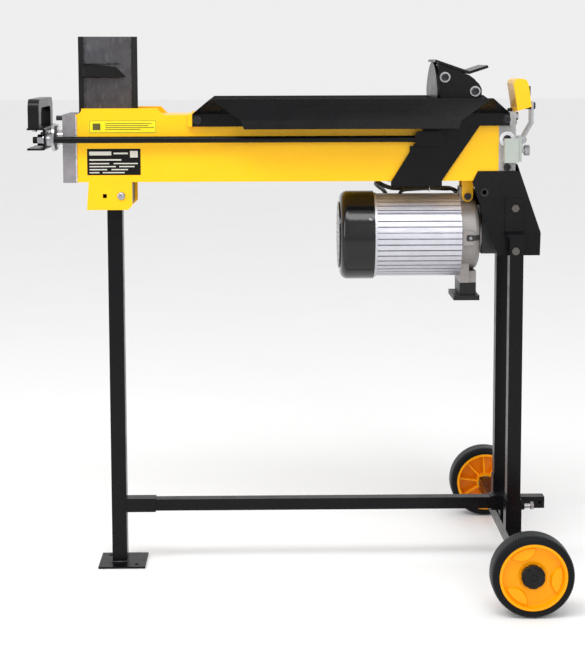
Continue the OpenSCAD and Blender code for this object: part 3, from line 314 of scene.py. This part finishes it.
# One material for each slot of the record
MATS = {
    "yellow_paint": paint("yellow_paint", YELLOW, 0.30, 0.95, 0.06, coat=0.15, spec=0.3),
    "black_paint": paint("black_paint", (0.0042, 0.0042, 0.0052), 0.27, 0.80, 0.12,
                         specks=0.006, dust=0.003, spec=0.155),
    "wedge_paint": wedge_finish("wedge_paint"),
    "cast_grey": casting("cast_grey", (0.25, 0.235, 0.25), 0.55, 0.7),
    "valve_grey": paint("valve_grey", (0.40, 0.43, 0.40), 0.42, 0.90, 0.12, spec=0.3),
    "motor_aluminium": metal("motor_aluminium", (0.62, 0.62, 0.675), 0.46, 0.92, 0.8, 0.035,
                             brushed=True),
    "zinc": metal("zinc", ZINC, 0.28, 0.78, 1.0, 0.15),
    "chrome_rod": metal("chrome_rod", (0.50, 0.49, 0.48), 0.12, 0.96, 1.0, 0.04, brushed=True),
    "bare_steel": metal("bare_steel", (0.45, 0.45, 0.46), 0.34, 0.85, 1.0, 0.12, brushed=True),
    "copper_winding": metal("copper_winding", (0.55, 0.25, 0.12), 0.35, 0.75, 1.0, 0.3,
                            brushed=True),
    "black_steel": metal("black_steel", (0.035, 0.035, 0.04), 0.26, 0.8, 0.8, 0.12),
    "black_plastic": plastic("black_plastic", (0.005, 0.005, 0.006), 0.24, 0.06, spec=0.22),
    "gloss_black": paint("gloss_black", (0.004, 0.004, 0.005), 0.16, 0.85, 0.03,
                         coat=0.2, spec=0.3),
    "pump_iron": casting("pump_iron", (0.016, 0.015, 0.015), 0.5, 0.4),
    "seal_rubber": plastic("seal_rubber", (0.014, 0.014, 0.015), 0.42, 0.12),
    "tyre_rubber": plastic("tyre_rubber", (0.0045, 0.005, 0.0065), 0.33, 0.10,
                           grain_scale=650.0, shade=0.75, spec=0.15),
    "rim_orange": plastic("rim_orange", (1.0, 0.375, 0.0), 0.30, 0.04,
                          grain_scale=500.0, shade=0.96, spec=0.2),
    "pale_seal": plastic("pale_seal", (0.78, 0.78, 0.80), 0.38, 0.08),
    "button_green": plastic("button_green", (0.02, 0.30, 0.08), 0.28, 0.06),
}
WELD = weld_finish("weld_heat", (0.42, 0.45, 0.56), (0.60, 0.58, 0.60), 0.8, 0.35)
WELD_DARK = weld_finish("weld_dark", (0.030, 0.030, 0.033), (0.085, 0.085, 0.09), 0.4, 0.42)
LABEL_DARK = paint("label_dark", (0.006, 0.005, 0.005), 0.30, 0.85, 0.04, spec=0.15)
LABEL_INK = paint("label_ink", (0.62, 0.60, 0.52), 0.34, 0.9, 0.04)
LABEL_YELLOW = paint("label_yellow", (0.86, 0.72, 0.0), 0.30, 0.95, 0.04)
LABEL_LINE = paint("label_line", (0.10, 0.085, 0.01), 0.34, 0.9, 0.04)

# Nodes whose finish differs from their slot's. The ranges are X, |Y| and Z in metres: painted
# shade in the notch of the end cap's lugs, the rear legs' bolts, and the lugs behind the cover's
# holes
NODE_MAT = {
    "end_cap": casting("cap_grey", (0.30, 0.28, 0.27), 0.42, 0.30, 0.85, 0.45, black_below=0.5405,
                       recess_shade=((0.318, 0.345), (0.055, 0.0705), (0.6225, 0.6325))),
    "cylinder_head": casting("head_grey", (0.40, 0.39, 0.385), 0.5, 0.55, 0.8),
    "zinc_bolts": metal("zinc_bolts", ZINC, 0.28, 0.78, 1.0, 0.15,
                        aged=((0.39, 0.42), (0.0, 0.1), (0.59, 0.70))),
    "motor_hanger": paint("hanger_yellow", YELLOW, 0.30, 0.95, 0.06, coat=0.15, spec=0.3,
                          bare=((0.338, 0.364), (0.05, 0.07), (0.698, 0.7225))),
}
CAP_GREY = NODE_MAT["end_cap"]

# Edge rounding of each CAD node in millimetres; nodes not listed get ROUND_DEFAULT
ROUND_DEFAULT = 0.6
ROUND = {
    "carry_handle": 4.0, "front_leg": 1.6, "rear_legs": 1.6, "stand_bar": 1.6, "axle_tube": 1.6,
    "valve_block": 1.6, "switch_box": 1.6, "end_cap": 1.4, "front_end_plate": 0.8,
    "pump_body": 1.6, "wedge": 0.8, "lever_grip": 2.0, "motor_body": 0.35, "fan": 0.5,
    "hand_guard": 0.9, "wing_near": 0.5, "wing_far": 0.5, "zinc_bolts": 0.5,
    "black_screws": 0.4, "pusher_bolts": 0.5, "ram_hardware": 0.5, "pusher_body": 1.0,
    "pusher_face": 1.0, "slide_plates": 0.8, "rim_near": 0.8, "rim_far": 0.8,
}
# Hidden or round nodes, and close running fits, which keep their CAD edges
NO_ROUND = {
    "switch_cable", "motor_cable", "cylinder_tube", "piston", "stator", "motor_bearings", "rotor",
    "drive_gear", "driven_gear", "axle_rod", "tie_rods", "fan_cover", "rear_shield",
    "valve_spool", "cylinder_head",
}
ROUND_ANGLE = math.radians(32)          # edges sharper than this are rounded
FLAT_ANGLE = math.radians(0.8)          # faces flatter than this to each other are joined


def dress_cad():
    """Gives every CAD node its material, and rounds its edges with modifiers."""
    for name, obj in NODES.items():
        mat = NODE_MAT.get(name, MATS[SLOT_OF[name]])
        if not obj.material_slots:
            obj.data.materials.append(mat)
        for place in obj.material_slots:
            place.material = mat
        if name in NO_ROUND:
            continue
        weld = obj.modifiers.new("weld", "WELD")
        weld.merge_threshold = 0.01 * MM
        flat = obj.modifiers.new("flat", "DECIMATE")
        flat.decimate_type = "DISSOLVE"
        flat.angle_limit = FLAT_ANGLE
        bevel = obj.modifiers.new("round", "BEVEL")
        bevel.width = ROUND.get(name, ROUND_DEFAULT) * MM
        bevel.segments = 3
        bevel.limit_method = "ANGLE"
        bevel.angle_limit = ROUND_ANGLE
        bevel.use_clamp_overlap = True
        normals = obj.modifiers.new("normals", "WEIGHTED_NORMAL")
        normals.keep_sharp = False
        normals.weight = 100


# ---------------------------------------------------------------- mesh helpers

def finish_piece(name, bm, mat, body, sharp_above=40.0):
    """Turns a bmesh into a piece that rides on a body; sharp_above is in degrees."""
    bmesh.ops.remove_doubles(bm, verts=bm.verts, dist=1e-6)
    bmesh.ops.recalc_face_normals(bm, faces=bm.faces)
    for f in bm.faces:
        f.smooth = True
    for e in bm.edges:
        if len(e.link_faces) == 2 and e.calc_face_angle(0) > math.radians(sharp_above):
            e.smooth = False
    mesh = bpy.data.meshes.new(name)
    bm.to_mesh(mesh)
    bm.free()
    mesh.materials.append(mat)
    obj = bpy.data.objects.new(name, mesh)
    bpy.context.scene.collection.objects.link(obj)
    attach(obj, body)
    return obj


def add_rings(bm, rows, caps=False):
    """Skins rings of points, rows[i][j], one to the next, with flat ends if caps."""
    grid = [[bm.verts.new(p) for p in row] for row in rows]
    n = len(grid[0])
    for i in range(len(grid) - 1):
        for j in range(n):
            k = (j + 1) % n
            bm.faces.new((grid[i][j], grid[i][k], grid[i + 1][k], grid[i + 1][j]))
    if caps:
        bm.faces.new(list(reversed(grid[0])))
        bm.faces.new(grid[-1])


def ring_y(cx, cz, radius, y, steps):
    """A ring of points round an axis along Y."""
    return [Vector((cx + radius * math.cos(TURN * j / steps), y,
                    cz + radius * math.sin(TURN * j / steps))) for j in range(steps)]


def lathe_y(bm, cx, cz, profile, steps, closed, radius_change):
    """Turns (radius, y) points round an axis along Y through cx, cz.

    radius_change(point number, angle, y) is added to each radius. A profile that isn't closed
    gets flat ends."""
    rows = []
    for k, (r, y) in enumerate(profile):
        row = []
        for j in range(steps):
            a = TURN * j / steps
            rr = r + radius_change(k, a, y)
            row.append(Vector((cx + rr * math.cos(a), y, cz + rr * math.sin(a))))
        rows.append(row)
    if closed:
        rows.append(rows[0])
    add_rings(bm, rows, caps=not closed)


def add_plate(bm, lo, hi):
    """A thin plate between two corners."""
    for v in bmesh.ops.create_cube(bm, size=1.0)["verts"]:
        v.co = Vector([lo[k] + (hi[k] - lo[k]) * (v.co[k] + 0.5) for k in range(3)])


def add_disc_stack(bm, origin, axis, steps, rings):
    """A turned solid: rings of (radius, height) along axis from origin."""
    nearly_zero = 1e-8                  # a ring this small closes to one point
    axis = Vector(axis).normalized()
    side = axis.orthogonal().normalized()
    other = axis.cross(side)
    rows = []
    for r, h in rings:
        middle = Vector(origin) + axis * h
        rows.append([middle + (side * math.cos(TURN * j / steps)
                               + other * math.sin(TURN * j / steps)) * max(r, nearly_zero)
                     for j in range(steps)])
    add_rings(bm, rows)


def bead(name, points, radius, body, mat, slot, seed, up=(0, 0, 1)):
    """A weld bead: overlapping ripples along a line of points."""
    pitch, sides = 2.2 * MM, 8
    rng = random.Random(seed)
    path = []
    for a, b in zip(points, points[1:]):
        a, b = Vector(a), Vector(b)
        n = max(2, int((b - a).length / (pitch / 4)))
        for i in range(n):
            path.append(a.lerp(b, i / n))
    path.append(Vector(points[-1]))
    rows, run, width = [], 0.0, 1.0
    for i, p in enumerate(path):
        along = (path[min(i + 1, len(path) - 1)] - path[max(i - 1, 0)]).normalized()
        across = along.cross(Vector(up))
        if across.length > 1e-6:
            across = across.normalized()
        else:
            across = along.orthogonal().normalized()
        out = across.cross(along)
        if i:
            run += (path[i] - path[i - 1]).length
        phase = (run % pitch) / pitch
        if phase < 0.1:
            width = 1.0 + rng.uniform(-0.14, 0.14)
        r = radius * width * (0.78 + 0.30 * math.sin(math.pi * phase))
        if i in (0, len(path) - 1):
            r *= 0.3
        rows.append([p + (across * math.cos(TURN * j / sides) * r
                          + out * math.sin(TURN * j / sides) * r) for j in range(sides)])
    bm = bmesh.new()
    add_rings(bm, rows, caps=True)
    finish_piece(name, bm, mat, body, 80)


def tube(name, points, radius, body, mat, steps):
    """A round tube along points."""
    points = [Vector(p) for p in points]
    rows = []
    for i, p in enumerate(points):
        along = (points[min(i + 1, len(points) - 1)] - points[max(i - 1, 0)]).normalized()
        side = along.orthogonal().normalized()
        other = along.cross(side)
        rows.append([p + (side * math.cos(TURN * j / steps)
                          + other * math.sin(TURN * j / steps)) * radius for j in range(steps)])
    bm = bmesh.new()
    add_rings(bm, rows, caps=True)
    finish_piece(name, bm, mat, body)


def share(value, whole):
    """value as a share of whole, kept between 0 and 1."""
    return min(1.0, max(0.0, value / whole))


def angle_between(a, b):
    return abs(((a - b + math.pi) % TURN) - math.pi)


# ---------------------------------------------------------------- wheels

class Wheel:
    """Where one wheel sits. Depths are measured inwards from its outer face."""

    def __init__(self, side):
        lo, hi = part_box("tyre_" + side)
        self.side = side
        self.body = "wheel_" + side
        self.sign = -1.0 if side == "near" else 1.0
        self.cx, self.cz = (lo.x + hi.x) / 2, (lo.z + hi.z) / 2
        self.half = (hi.y - lo.y) / 2
        self.mid = (hi.y + lo.y) / 2
        self.out = self.mid + self.sign * self.half
        self.tyre_r = (hi.x - lo.x) / 2

    def y(self, depth):
        return self.out - self.sign * depth

    def ring(self, radius, depth, steps):
        return ring_y(self.cx, self.cz, radius, self.y(depth), steps)

    def node(self, name):
        """Radius, outer depth and inner depth of a node of this wheel."""
        lo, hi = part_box(f"{name}_{self.side}")
        depths = sorted((abs(self.out - lo.y), abs(self.out - hi.y)))
        return (hi.x - lo.x) / 2, depths[0], depths[1]


def make_tread(wheel):
    """The tyre: rounded shoulders, slanted tread bars and ribs round it."""
    bars, groove_share, slant_bars = 88, 0.34, 1.6
    groove_depth, rib_depth_share, rib_pitch, rib_share = 0.75 * MM, 0.55, 4.2 * MM, 0.14
    steps = bars * 6
    rim_r = wheel.node("rim")[0]
    r, w = wheel.tyre_r, 2 * wheel.half
    shoulder_depth = 9.5 * MM
    shoulder = [
        (rim_r - 1.8 * MM, 3.6 * MM), (rim_r + 0.4 * MM, 3.4 * MM), (rim_r + 0.5 * MM, 0.5 * MM),
        (rim_r + 2.2 * MM, 0.15 * MM), (r - 6.5 * MM, 0.3 * MM), (r - 3.5 * MM, 1.2 * MM),
        (r - 1.6 * MM, 3.2 * MM), (r - 0.4 * MM, 6.2 * MM), (r - 0.05 * MM, shoulder_depth),
    ]
    tread = [(r - 0.05 * MM, shoulder_depth + (w - 2 * shoulder_depth) * k / 12)
             for k in range(1, 12)]
    profile = shoulder + tread + [(radius, w - depth) for radius, depth in reversed(shoulder)]
    first, last = 5, len(profile) - 6   # the profile's points that are cut

    def cut(k, angle, y):
        if not first <= k <= last:
            return 0.0
        inwards = wheel.half - abs(y - wheel.mid)
        slant = 0.5 * inwards / wheel.half
        in_groove = ((angle * bars / TURN) + slant * slant_bars) % 1.0 < groove_share
        in_rib = abs((inwards / rib_pitch) % 1.0 - 0.5) < rib_share
        return -groove_depth * max(1.0 if in_groove else 0.0, rib_depth_share if in_rib else 0.0)

    bm = bmesh.new()
    lathe_y(bm, wheel.cx, wheel.cz, [(radius, wheel.y(depth)) for radius, depth in profile],
            steps, True, cut)
    tyre = finish_piece("tread_" + wheel.side, bm, MATS["tyre_rubber"], wheel.body,
                        35)
    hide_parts("tyre_" + wheel.side)


def make_dish(wheel):
    """The moulded disc: an outer face with three raised pads, ribs on its back, and the hub."""
    edge, hub_depth, inner_depth = wheel.node("disc")
    hub_r, bore_r, back_depth = 17.4 * MM, 8.15 * MM, 17.0 * MM
    pads = [math.radians(a) for a in (112, 232, 352)]
    pad_middle_r, pad_r, pad_height, pad_edge = 57.0 * MM, 27.0 * MM, 6.5 * MM, 2.6 * MM
    face_depth, edge_band, edge_lift = 13.0 * MM, 4.0 * MM, 7.5 * MM
    bowl_reach, bowl_depth = 9.0 * MM, 2.2 * MM
    spoke_half, spoke_reach, spoke_height = 2.4 * MM, 11.0 * MM, 1.6 * MM
    steps, face_rings = 300, 44

    def face(r, a):
        """Depth of the outer face at a radius and angle."""
        at_edge = share(r - (edge - edge_band), edge_band)
        depth = face_depth - edge_lift * at_edge ** 3
        bowl = share(r - hub_r, bowl_reach)
        depth += bowl_depth * math.sin(math.pi * min(1.0, bowl * 0.9)) * (1 - bowl)
        for p in pads:
            away = math.hypot(r * math.cos(a) - pad_middle_r * math.cos(p),
                              r * math.sin(a) - pad_middle_r * math.sin(p))
            t = share(pad_r - away, pad_edge)
            depth -= pad_height * (t * t * (3 - 2 * t)) * (1 - at_edge)
            aside = angle_between(a, p + math.radians(30)) * r
            if aside < spoke_half and r < hub_r + spoke_reach:
                depth -= spoke_height * (1 - aside / spoke_half) * (1 - (r - hub_r) / spoke_reach)
        return depth

    rows = [wheel.ring(bore_r, inner_depth, steps), wheel.ring(bore_r, hub_depth, steps),
            wheel.ring(hub_r, hub_depth, steps)]
    for k in range(face_rings + 1):
        r = hub_r + (edge - hub_r) * k / face_rings
        row = []
        for j in range(steps):
            a = TURN * j / steps
            row.append(Vector((wheel.cx + r * math.cos(a), wheel.y(face(r, -wheel.sign * a)),
                               wheel.cz + r * math.sin(a))))
        rows.append(row)
    rows += [wheel.ring(edge, back_depth, steps),
             wheel.ring(hub_r + 1 * MM, back_depth + 2 * MM, steps),
             wheel.ring(hub_r, inner_depth, steps), wheel.ring(bore_r, inner_depth, steps)]
    bm = bmesh.new()
    add_rings(bm, rows)

    # ribs on the back
    ribs, rib_half = 9, 1.3 * MM
    outline = [
        (hub_r - 0.5 * MM, back_depth), (edge + 0.2 * MM, back_depth - 0.5 * MM),
        (edge + 0.2 * MM, back_depth + 19 * MM), (hub_r + 10 * MM, back_depth + 21 * MM),
        (hub_r - 0.5 * MM, back_depth + 23 * MM),
    ]
    middle = Vector((wheel.cx, 0, wheel.cz))
    for k in range(ribs):
        a = TURN * (k + 0.35) / ribs
        outwards = Vector((math.cos(a), 0, math.sin(a)))
        sideways = Vector((-math.sin(a), 0, math.cos(a)))
        add_rings(bm, [[middle + outwards * r + sideways * sign * rib_half
                        + Vector((0, wheel.y(depth), 0)) for r, depth in outline]
                       for sign in (-1, 1)], caps=True)
    disc = finish_piece("dish_" + wheel.side, bm, MATS["rim_orange"], wheel.body,
                        50)
    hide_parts("disc_" + wheel.side)


def make_cap(wheel):
    """The hub cap: a skirt with notches, a raised face and a centre button."""
    r, face_depth, back_depth = wheel.node("hub_cap")
    profile = [
        (r - 3.0 * MM, back_depth), (r - 0.6 * MM, back_depth), (r, back_depth - 0.6 * MM),
        (r, face_depth + 3.2 * MM), (r - 0.7 * MM, face_depth + 2.4 * MM),
        (r - 3.4 * MM, face_depth + 2.0 * MM), (r - 4.2 * MM, face_depth + 0.5 * MM),
        (r - 4.9 * MM, face_depth + 0.1 * MM), (6.3 * MM, face_depth + 0.1 * MM),
        (5.9 * MM, face_depth + 0.9 * MM), (5.2 * MM, face_depth + 0.9 * MM),
        (4.9 * MM, face_depth + 0.2 * MM), (0.5 * MM, face_depth + 0.2 * MM),
    ]
    skirt_end = 5                       # the last of the profile's points that is notched
    notches = [math.radians(a) for a in range(0, 360, 60)]

    def notch(k, angle, y):
        aside = min(angle_between(angle, a) for a in notches)
        if k > skirt_end or aside >= 0.16:
            return 0.0
        return -1.1 * MM if aside < 0.055 else -0.35 * MM

    bm = bmesh.new()
    lathe_y(bm, wheel.cx, wheel.cz, [(radius, wheel.y(depth)) for radius, depth in profile],
            240, False, notch)
    cap = finish_piece("cap_" + wheel.side, bm, MATS["black_plastic"], wheel.body,
                       35)
    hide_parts("hub_cap_" + wheel.side)


# ---------------------------------------------------------------- plates on the beam

BEAM_FACE = -60.0 * MM                  # Y of the beam's near side
PLATE_PROUD, MARK_PROUD, SUNK = 0.30 * MM, 0.42 * MM, 0.05 * MM

# X and Z limits of the plates' blank fields and bars, in millimetres
DARK_BARS = [
    (-370, -330, 781, 788), (-326, -300, 783, 786), (-370, -312, 771.5, 774),
    (-370, -334, 765, 767), (-326, -282, 765, 767), (-370, -322, 759.5, 761.5),
    (-316, -288, 759.5, 761.5), (-370, -338, 754, 756), (-330, -300, 754, 756),
    (-370, -352, 748.5, 750.5), (-346, -306, 748.5, 750.5), (-296, -282, 777, 789),
]
STRIP_BARS = [
    (-340, -256, 838.2, 839.4), (-340, -262, 834.6, 835.8), (-340, -252, 831.0, 832.2),
    (-340, -276, 827.4, 828.6), (-363, -349, 827, 839),
]
STRIP_BORDER = (-369, -248, 821.8, 844.2)
BORDER_WIDTH = 0.8


def beam_plates(name, rects, proud, mat, border=None):
    """Flat plates by their X and Z limits in millimetres; border is one thin frame."""
    bm = bmesh.new()
    for x0, x1, z0, z1 in rects:
        add_plate(bm, (x0 * MM, BEAM_FACE - proud, z0 * MM), (x1 * MM, BEAM_FACE + SUNK, z1 * MM))
    if border:
        x0, x1, z0, z1 = border
        rows = []
        for inset, y in ((0, SUNK), (0, -proud), (BORDER_WIDTH, -proud), (BORDER_WIDTH, SUNK),
                         (0, SUNK)):
            left, right, low, high = x0 + inset, x1 - inset, z0 + inset, z1 - inset
            rows.append([Vector((x * MM, BEAM_FACE + y, z * MM))
                         for x, z in ((left, low), (right, low), (right, high), (left, high))])
        add_rings(bm, rows)
    finish_piece(name, bm, mat, "frame")


def labels():
    """Two plain plates on the near side of the beam: blank fields and bars only."""
    beam_plates("plate_dark", [(-374, -277, 745, 793)], PLATE_PROUD, LABEL_DARK)
    beam_plates("plate_bars", DARK_BARS, MARK_PROUD, LABEL_INK)
    beam_plates("strip_yellow", [(-370, -247, 821, 845)], PLATE_PROUD, LABEL_YELLOW)
    beam_plates("strip_lines", STRIP_BARS, MARK_PROUD, LABEL_LINE, STRIP_BORDER)


# ---------------------------------------------------------------- small details

def pan_screw(name, origin, axis, r, h, body):
    """A zinc pan head screw; its cross slot is a black bar, painted shade for the slot's recess.
    """
    bm = bmesh.new()
    add_disc_stack(bm, origin, axis, 32, [
        (0.0, -0.4 * h), (r, -0.4 * h), (r, 0.25 * h), (r * 0.92, 0.6 * h), (r * 0.7, 0.88 * h),
        (r * 0.38, 0.98 * h), (0.0, h)])
    finish_piece(name, bm, MATS["zinc"], body)
    # the cross slot: a black bar a little proud of the head, painted shade for its recess
    bm = bmesh.new()
    a = Vector(axis).normalized()
    u = a.orthogonal().normalized()
    v = a.cross(u)
    for along, across in ((u, v), (v, u)):
        add_rings(bm, [[Vector(origin) + along * p * r * 0.55 + across * q * r * 0.1 + a * h * t
                        for p, q in ((-1, -1), (1, -1), (1, 1), (-1, 1))]
                       for t in (0.80, 1.02)], caps=True)
    finish_piece(name + "_slot", bm, MATS["black_steel"], body)


def welds():
    """Beads where the parts are welded together."""
    e_lo, e_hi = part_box("front_end_plate")
    w_lo, w_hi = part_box("wedge")
    foot = w_lo.z + 0.6 * MM

    def wedge_bead(name, start, end, radius, seed, **more):
        bead(name, [start, end], radius, "frame", WELD_DARK, "wedge_paint", seed, **more)

    for s, tag in SIDES:
        x, y = e_hi.x + 0.6 * MM, s * 60.3 * MM
        bead("bead_plate_" + tag, [(x, y, e_lo.z + 2 * MM), (x, y, e_hi.z - 3 * MM)],
             1.7 * MM, "frame", WELD, "cast_grey", 3 + s, up=(0, 1, 0))
        x, y = w_lo.x + 10.8 * MM, s * 30.6 * MM
        wedge_bead("bead_back_" + tag, (x, y, w_lo.z + 1 * MM), (x, y, w_hi.z - 2 * MM),
                   1.5 * MM, 7 + s, up=(0, 1, 0))
        x, y = w_hi.x - 12 * MM, s * 3.9 * MM
        wedge_bead("bead_nose_" + tag, (x, y, w_lo.z + 3 * MM), (x, y, w_hi.z - 2 * MM),
                   1.3 * MM, 17 + s, up=(0, 1, 0))
        wedge_bead("bead_foot_" + tag, (w_lo.x + 12 * MM, s * 30.2 * MM, foot),
                   (w_hi.x - 14 * MM, s * 7.0 * MM, foot), 1.8 * MM, 9 + s)
        for k, z in enumerate((w_lo.z + 66.6 * MM, w_lo.z + 93.2 * MM)):
            wedge_bead(f"bead_ledge_{k}_" + tag, (w_lo.x + 12 * MM, s * 30.6 * MM, z),
                       (w_lo.x + 74 * MM, s * 11.5 * MM, z), 1.2 * MM, 21 + 2 * k + s)

    g_lo, g_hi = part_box("pusher_face")
    x, z = g_hi.x + 0.8 * MM, g_lo.z + 60 * MM
    bead("bead_pusher", [(x, -30 * MM, z), (x, 30 * MM, z)],
         1.6 * MM, "ram", WELD_DARK, "black_paint", 31)
    leg_x, leg_half, plate_top = -330 * MM, 14 * MM, 4.2 * MM
    corners = [(leg_x + p * leg_half, q * leg_half, plate_top)
               for p, q in ((-1, -1), (1, -1), (1, 1), (-1, 1), (-1, -1))]
    bead("bead_leg_foot", corners, 1.5 * MM, "frame", WELD_DARK, "black_paint", 41)


def end_cap_lugs():
    """The notched two-prong lugs on the sides of the motor's end cap."""
    outline = [(310, 641), (331, 641), (331, 634), (320, 634), (317, 630.5), (317, 624.5),
               (320, 621), (331, 621), (331, 614), (310, 614)]      # X and Z in millimetres
    inner_y, outer_y = 62.5 * MM, 73.5 * MM
    for s, tag in SIDES:
        bm = bmesh.new()
        add_rings(bm, [[Vector((x * MM, s * y, z * MM)) for x, z in outline]
                       for y in (inner_y, outer_y)], caps=True)
        lug = finish_piece("cap_lug_" + tag, bm, CAP_GREY, "frame", 30)
        edge = lug.modifiers.new("round", "BEVEL")
        edge.width = 1.0 * MM
        edge.segments = 2
        bm = bmesh.new()
        add_disc_stack(bm, (325 * MM, s * 69.5 * MM, 627.5 * MM), (0, s, 0), 24, [
            (0.0, -2 * MM), (3.1 * MM, -2 * MM), (3.1 * MM, 3.2 * MM), (2.5 * MM, 3.8 * MM),
            (1.6 * MM, 3.8 * MM), (1.5 * MM, 2.4 * MM), (0.0, 2.4 * MM)])
        finish_piece("cap_stud_" + tag, bm, MATS["zinc"], "frame")


def small_parts():
    """Screws, washers, a cable tie and a plug that are too small for the CAD."""
    for s, tag in SIDES:
        pan_screw("cover_screw_" + tag, (142 * MM, s * 73.9 * MM, 663.5 * MM),
                  (0, s * 0.897, 0.442), 3.4 * MM, 2.2 * MM, "frame")
    for s, tag in SIDES:
        for k, x in enumerate((-173, 388)):
            bm = bmesh.new()
            add_disc_stack(bm, (x * MM, s * 70.9 * MM, 844.5 * MM), (0, s, 0), 40, [
                (5.6 * MM, -0.4 * MM), (7.4 * MM, -0.4 * MM), (7.4 * MM, 0.5 * MM),
                (7.1 * MM, 0.7 * MM), (5.6 * MM, 0.7 * MM), (5.6 * MM, -0.4 * MM)])
            finish_piece(f"tray_washer_{k}_{tag}", bm, MATS["black_steel"], "frame")

    # the tie is an ellipse round both leads
    turns = [TURN * j / 16 for j in range(17)]
    tube("cable_tie", [(254 * MM, (-10.5 + 11.2 * math.cos(a)) * MM,
                        (714 + 5.2 * math.sin(a)) * MM) for a in turns],
         0.8 * MM, "frame", MATS["pale_seal"], 6)

    head_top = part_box("cylinder_head")[1].z
    bm = bmesh.new()
    add_disc_stack(bm, (399 * MM, -38 * MM, head_top), (0, 0, 1), 32, [
        (0.0, -0.5 * MM), (4.6 * MM, -0.5 * MM), (4.6 * MM, 5.2 * MM), (4.0 * MM, 5.8 * MM),
        (2.2 * MM, 5.8 * MM), (2.0 * MM, 3.0 * MM), (0.0, 3.0 * MM)])
    finish_piece("head_plug", bm, MATS["black_steel"], "frame")


# ---------------------------------------------------------------- stage

def softbox(name, place, target, size, power):
    """A rectangular area light that looks at a target."""
    data = bpy.data.lights.new(name, "AREA")
    data.shape = "RECTANGLE"
    data.size, data.size_y = size
    data.energy = power
    lamp = bpy.data.objects.new(name, data)
    lamp.location = place
    aim = Vector(target) - Vector(place)
    lamp.rotation_euler = aim.to_track_quat("-Z", "Y").to_euler()
    bpy.context.scene.collection.objects.link(lamp)


def stage():
    """A wide pale floor that runs out of sight, a white sky and three soft lights."""
    floor_half, floor_below = 30.0, 0.5 * MM
    bm = bmesh.new()
    bmesh.ops.create_grid(bm, x_segments=2, y_segments=2, size=floor_half)
    for v in bm.verts:
        v.co.z = -floor_below
    mesh = bpy.data.meshes.new("floor")
    bm.to_mesh(mesh)
    bm.free()
    floor = bpy.data.objects.new("floor", mesh)
    bpy.context.scene.collection.objects.link(floor)
    m = Maker("floor_pale")
    m.colour(m.mix(m.noise(3.0), (0.93, 0.93, 0.93), (0.955, 0.955, 0.955)))
    m.set("Roughness", 0.9)
    m.set("Specular IOR Level", 0.1)
    mesh.materials.append(m.mat)

    view = bpy.context.scene.view_settings
    view.view_transform = "Standard"
    view.look = "None"

    world = bpy.data.worlds.new("studio")
    bpy.context.scene.world = world
    world.use_nodes = True
    back = world.node_tree.nodes["Background"]
    back.inputs["Color"].default_value = (1, 1, 1, 1)
    back.inputs["Strength"].default_value = 0.86

    softbox("top_box", (-0.4, -1.3, 2.6), (0, 0, 0.7), (2.4, 0.7), 34)
    softbox("front_box", (1.0, -3.6, 1.9), (0, 0, 0.6), (0.7, 1.8), 16)
    softbox("left_box", (-3.2, -1.2, 1.4), (0, 0, 0.6), (0.9, 1.8), 22)


def main():
    make_camera()
    stage()
    dress_cad()
    for _, tag in SIDES:
        wheel = Wheel(tag)
        make_tread(wheel)
        make_dish(wheel)
        make_cap(wheel)
    labels()
    welds()
    end_cap_lugs()
    small_parts()


main()
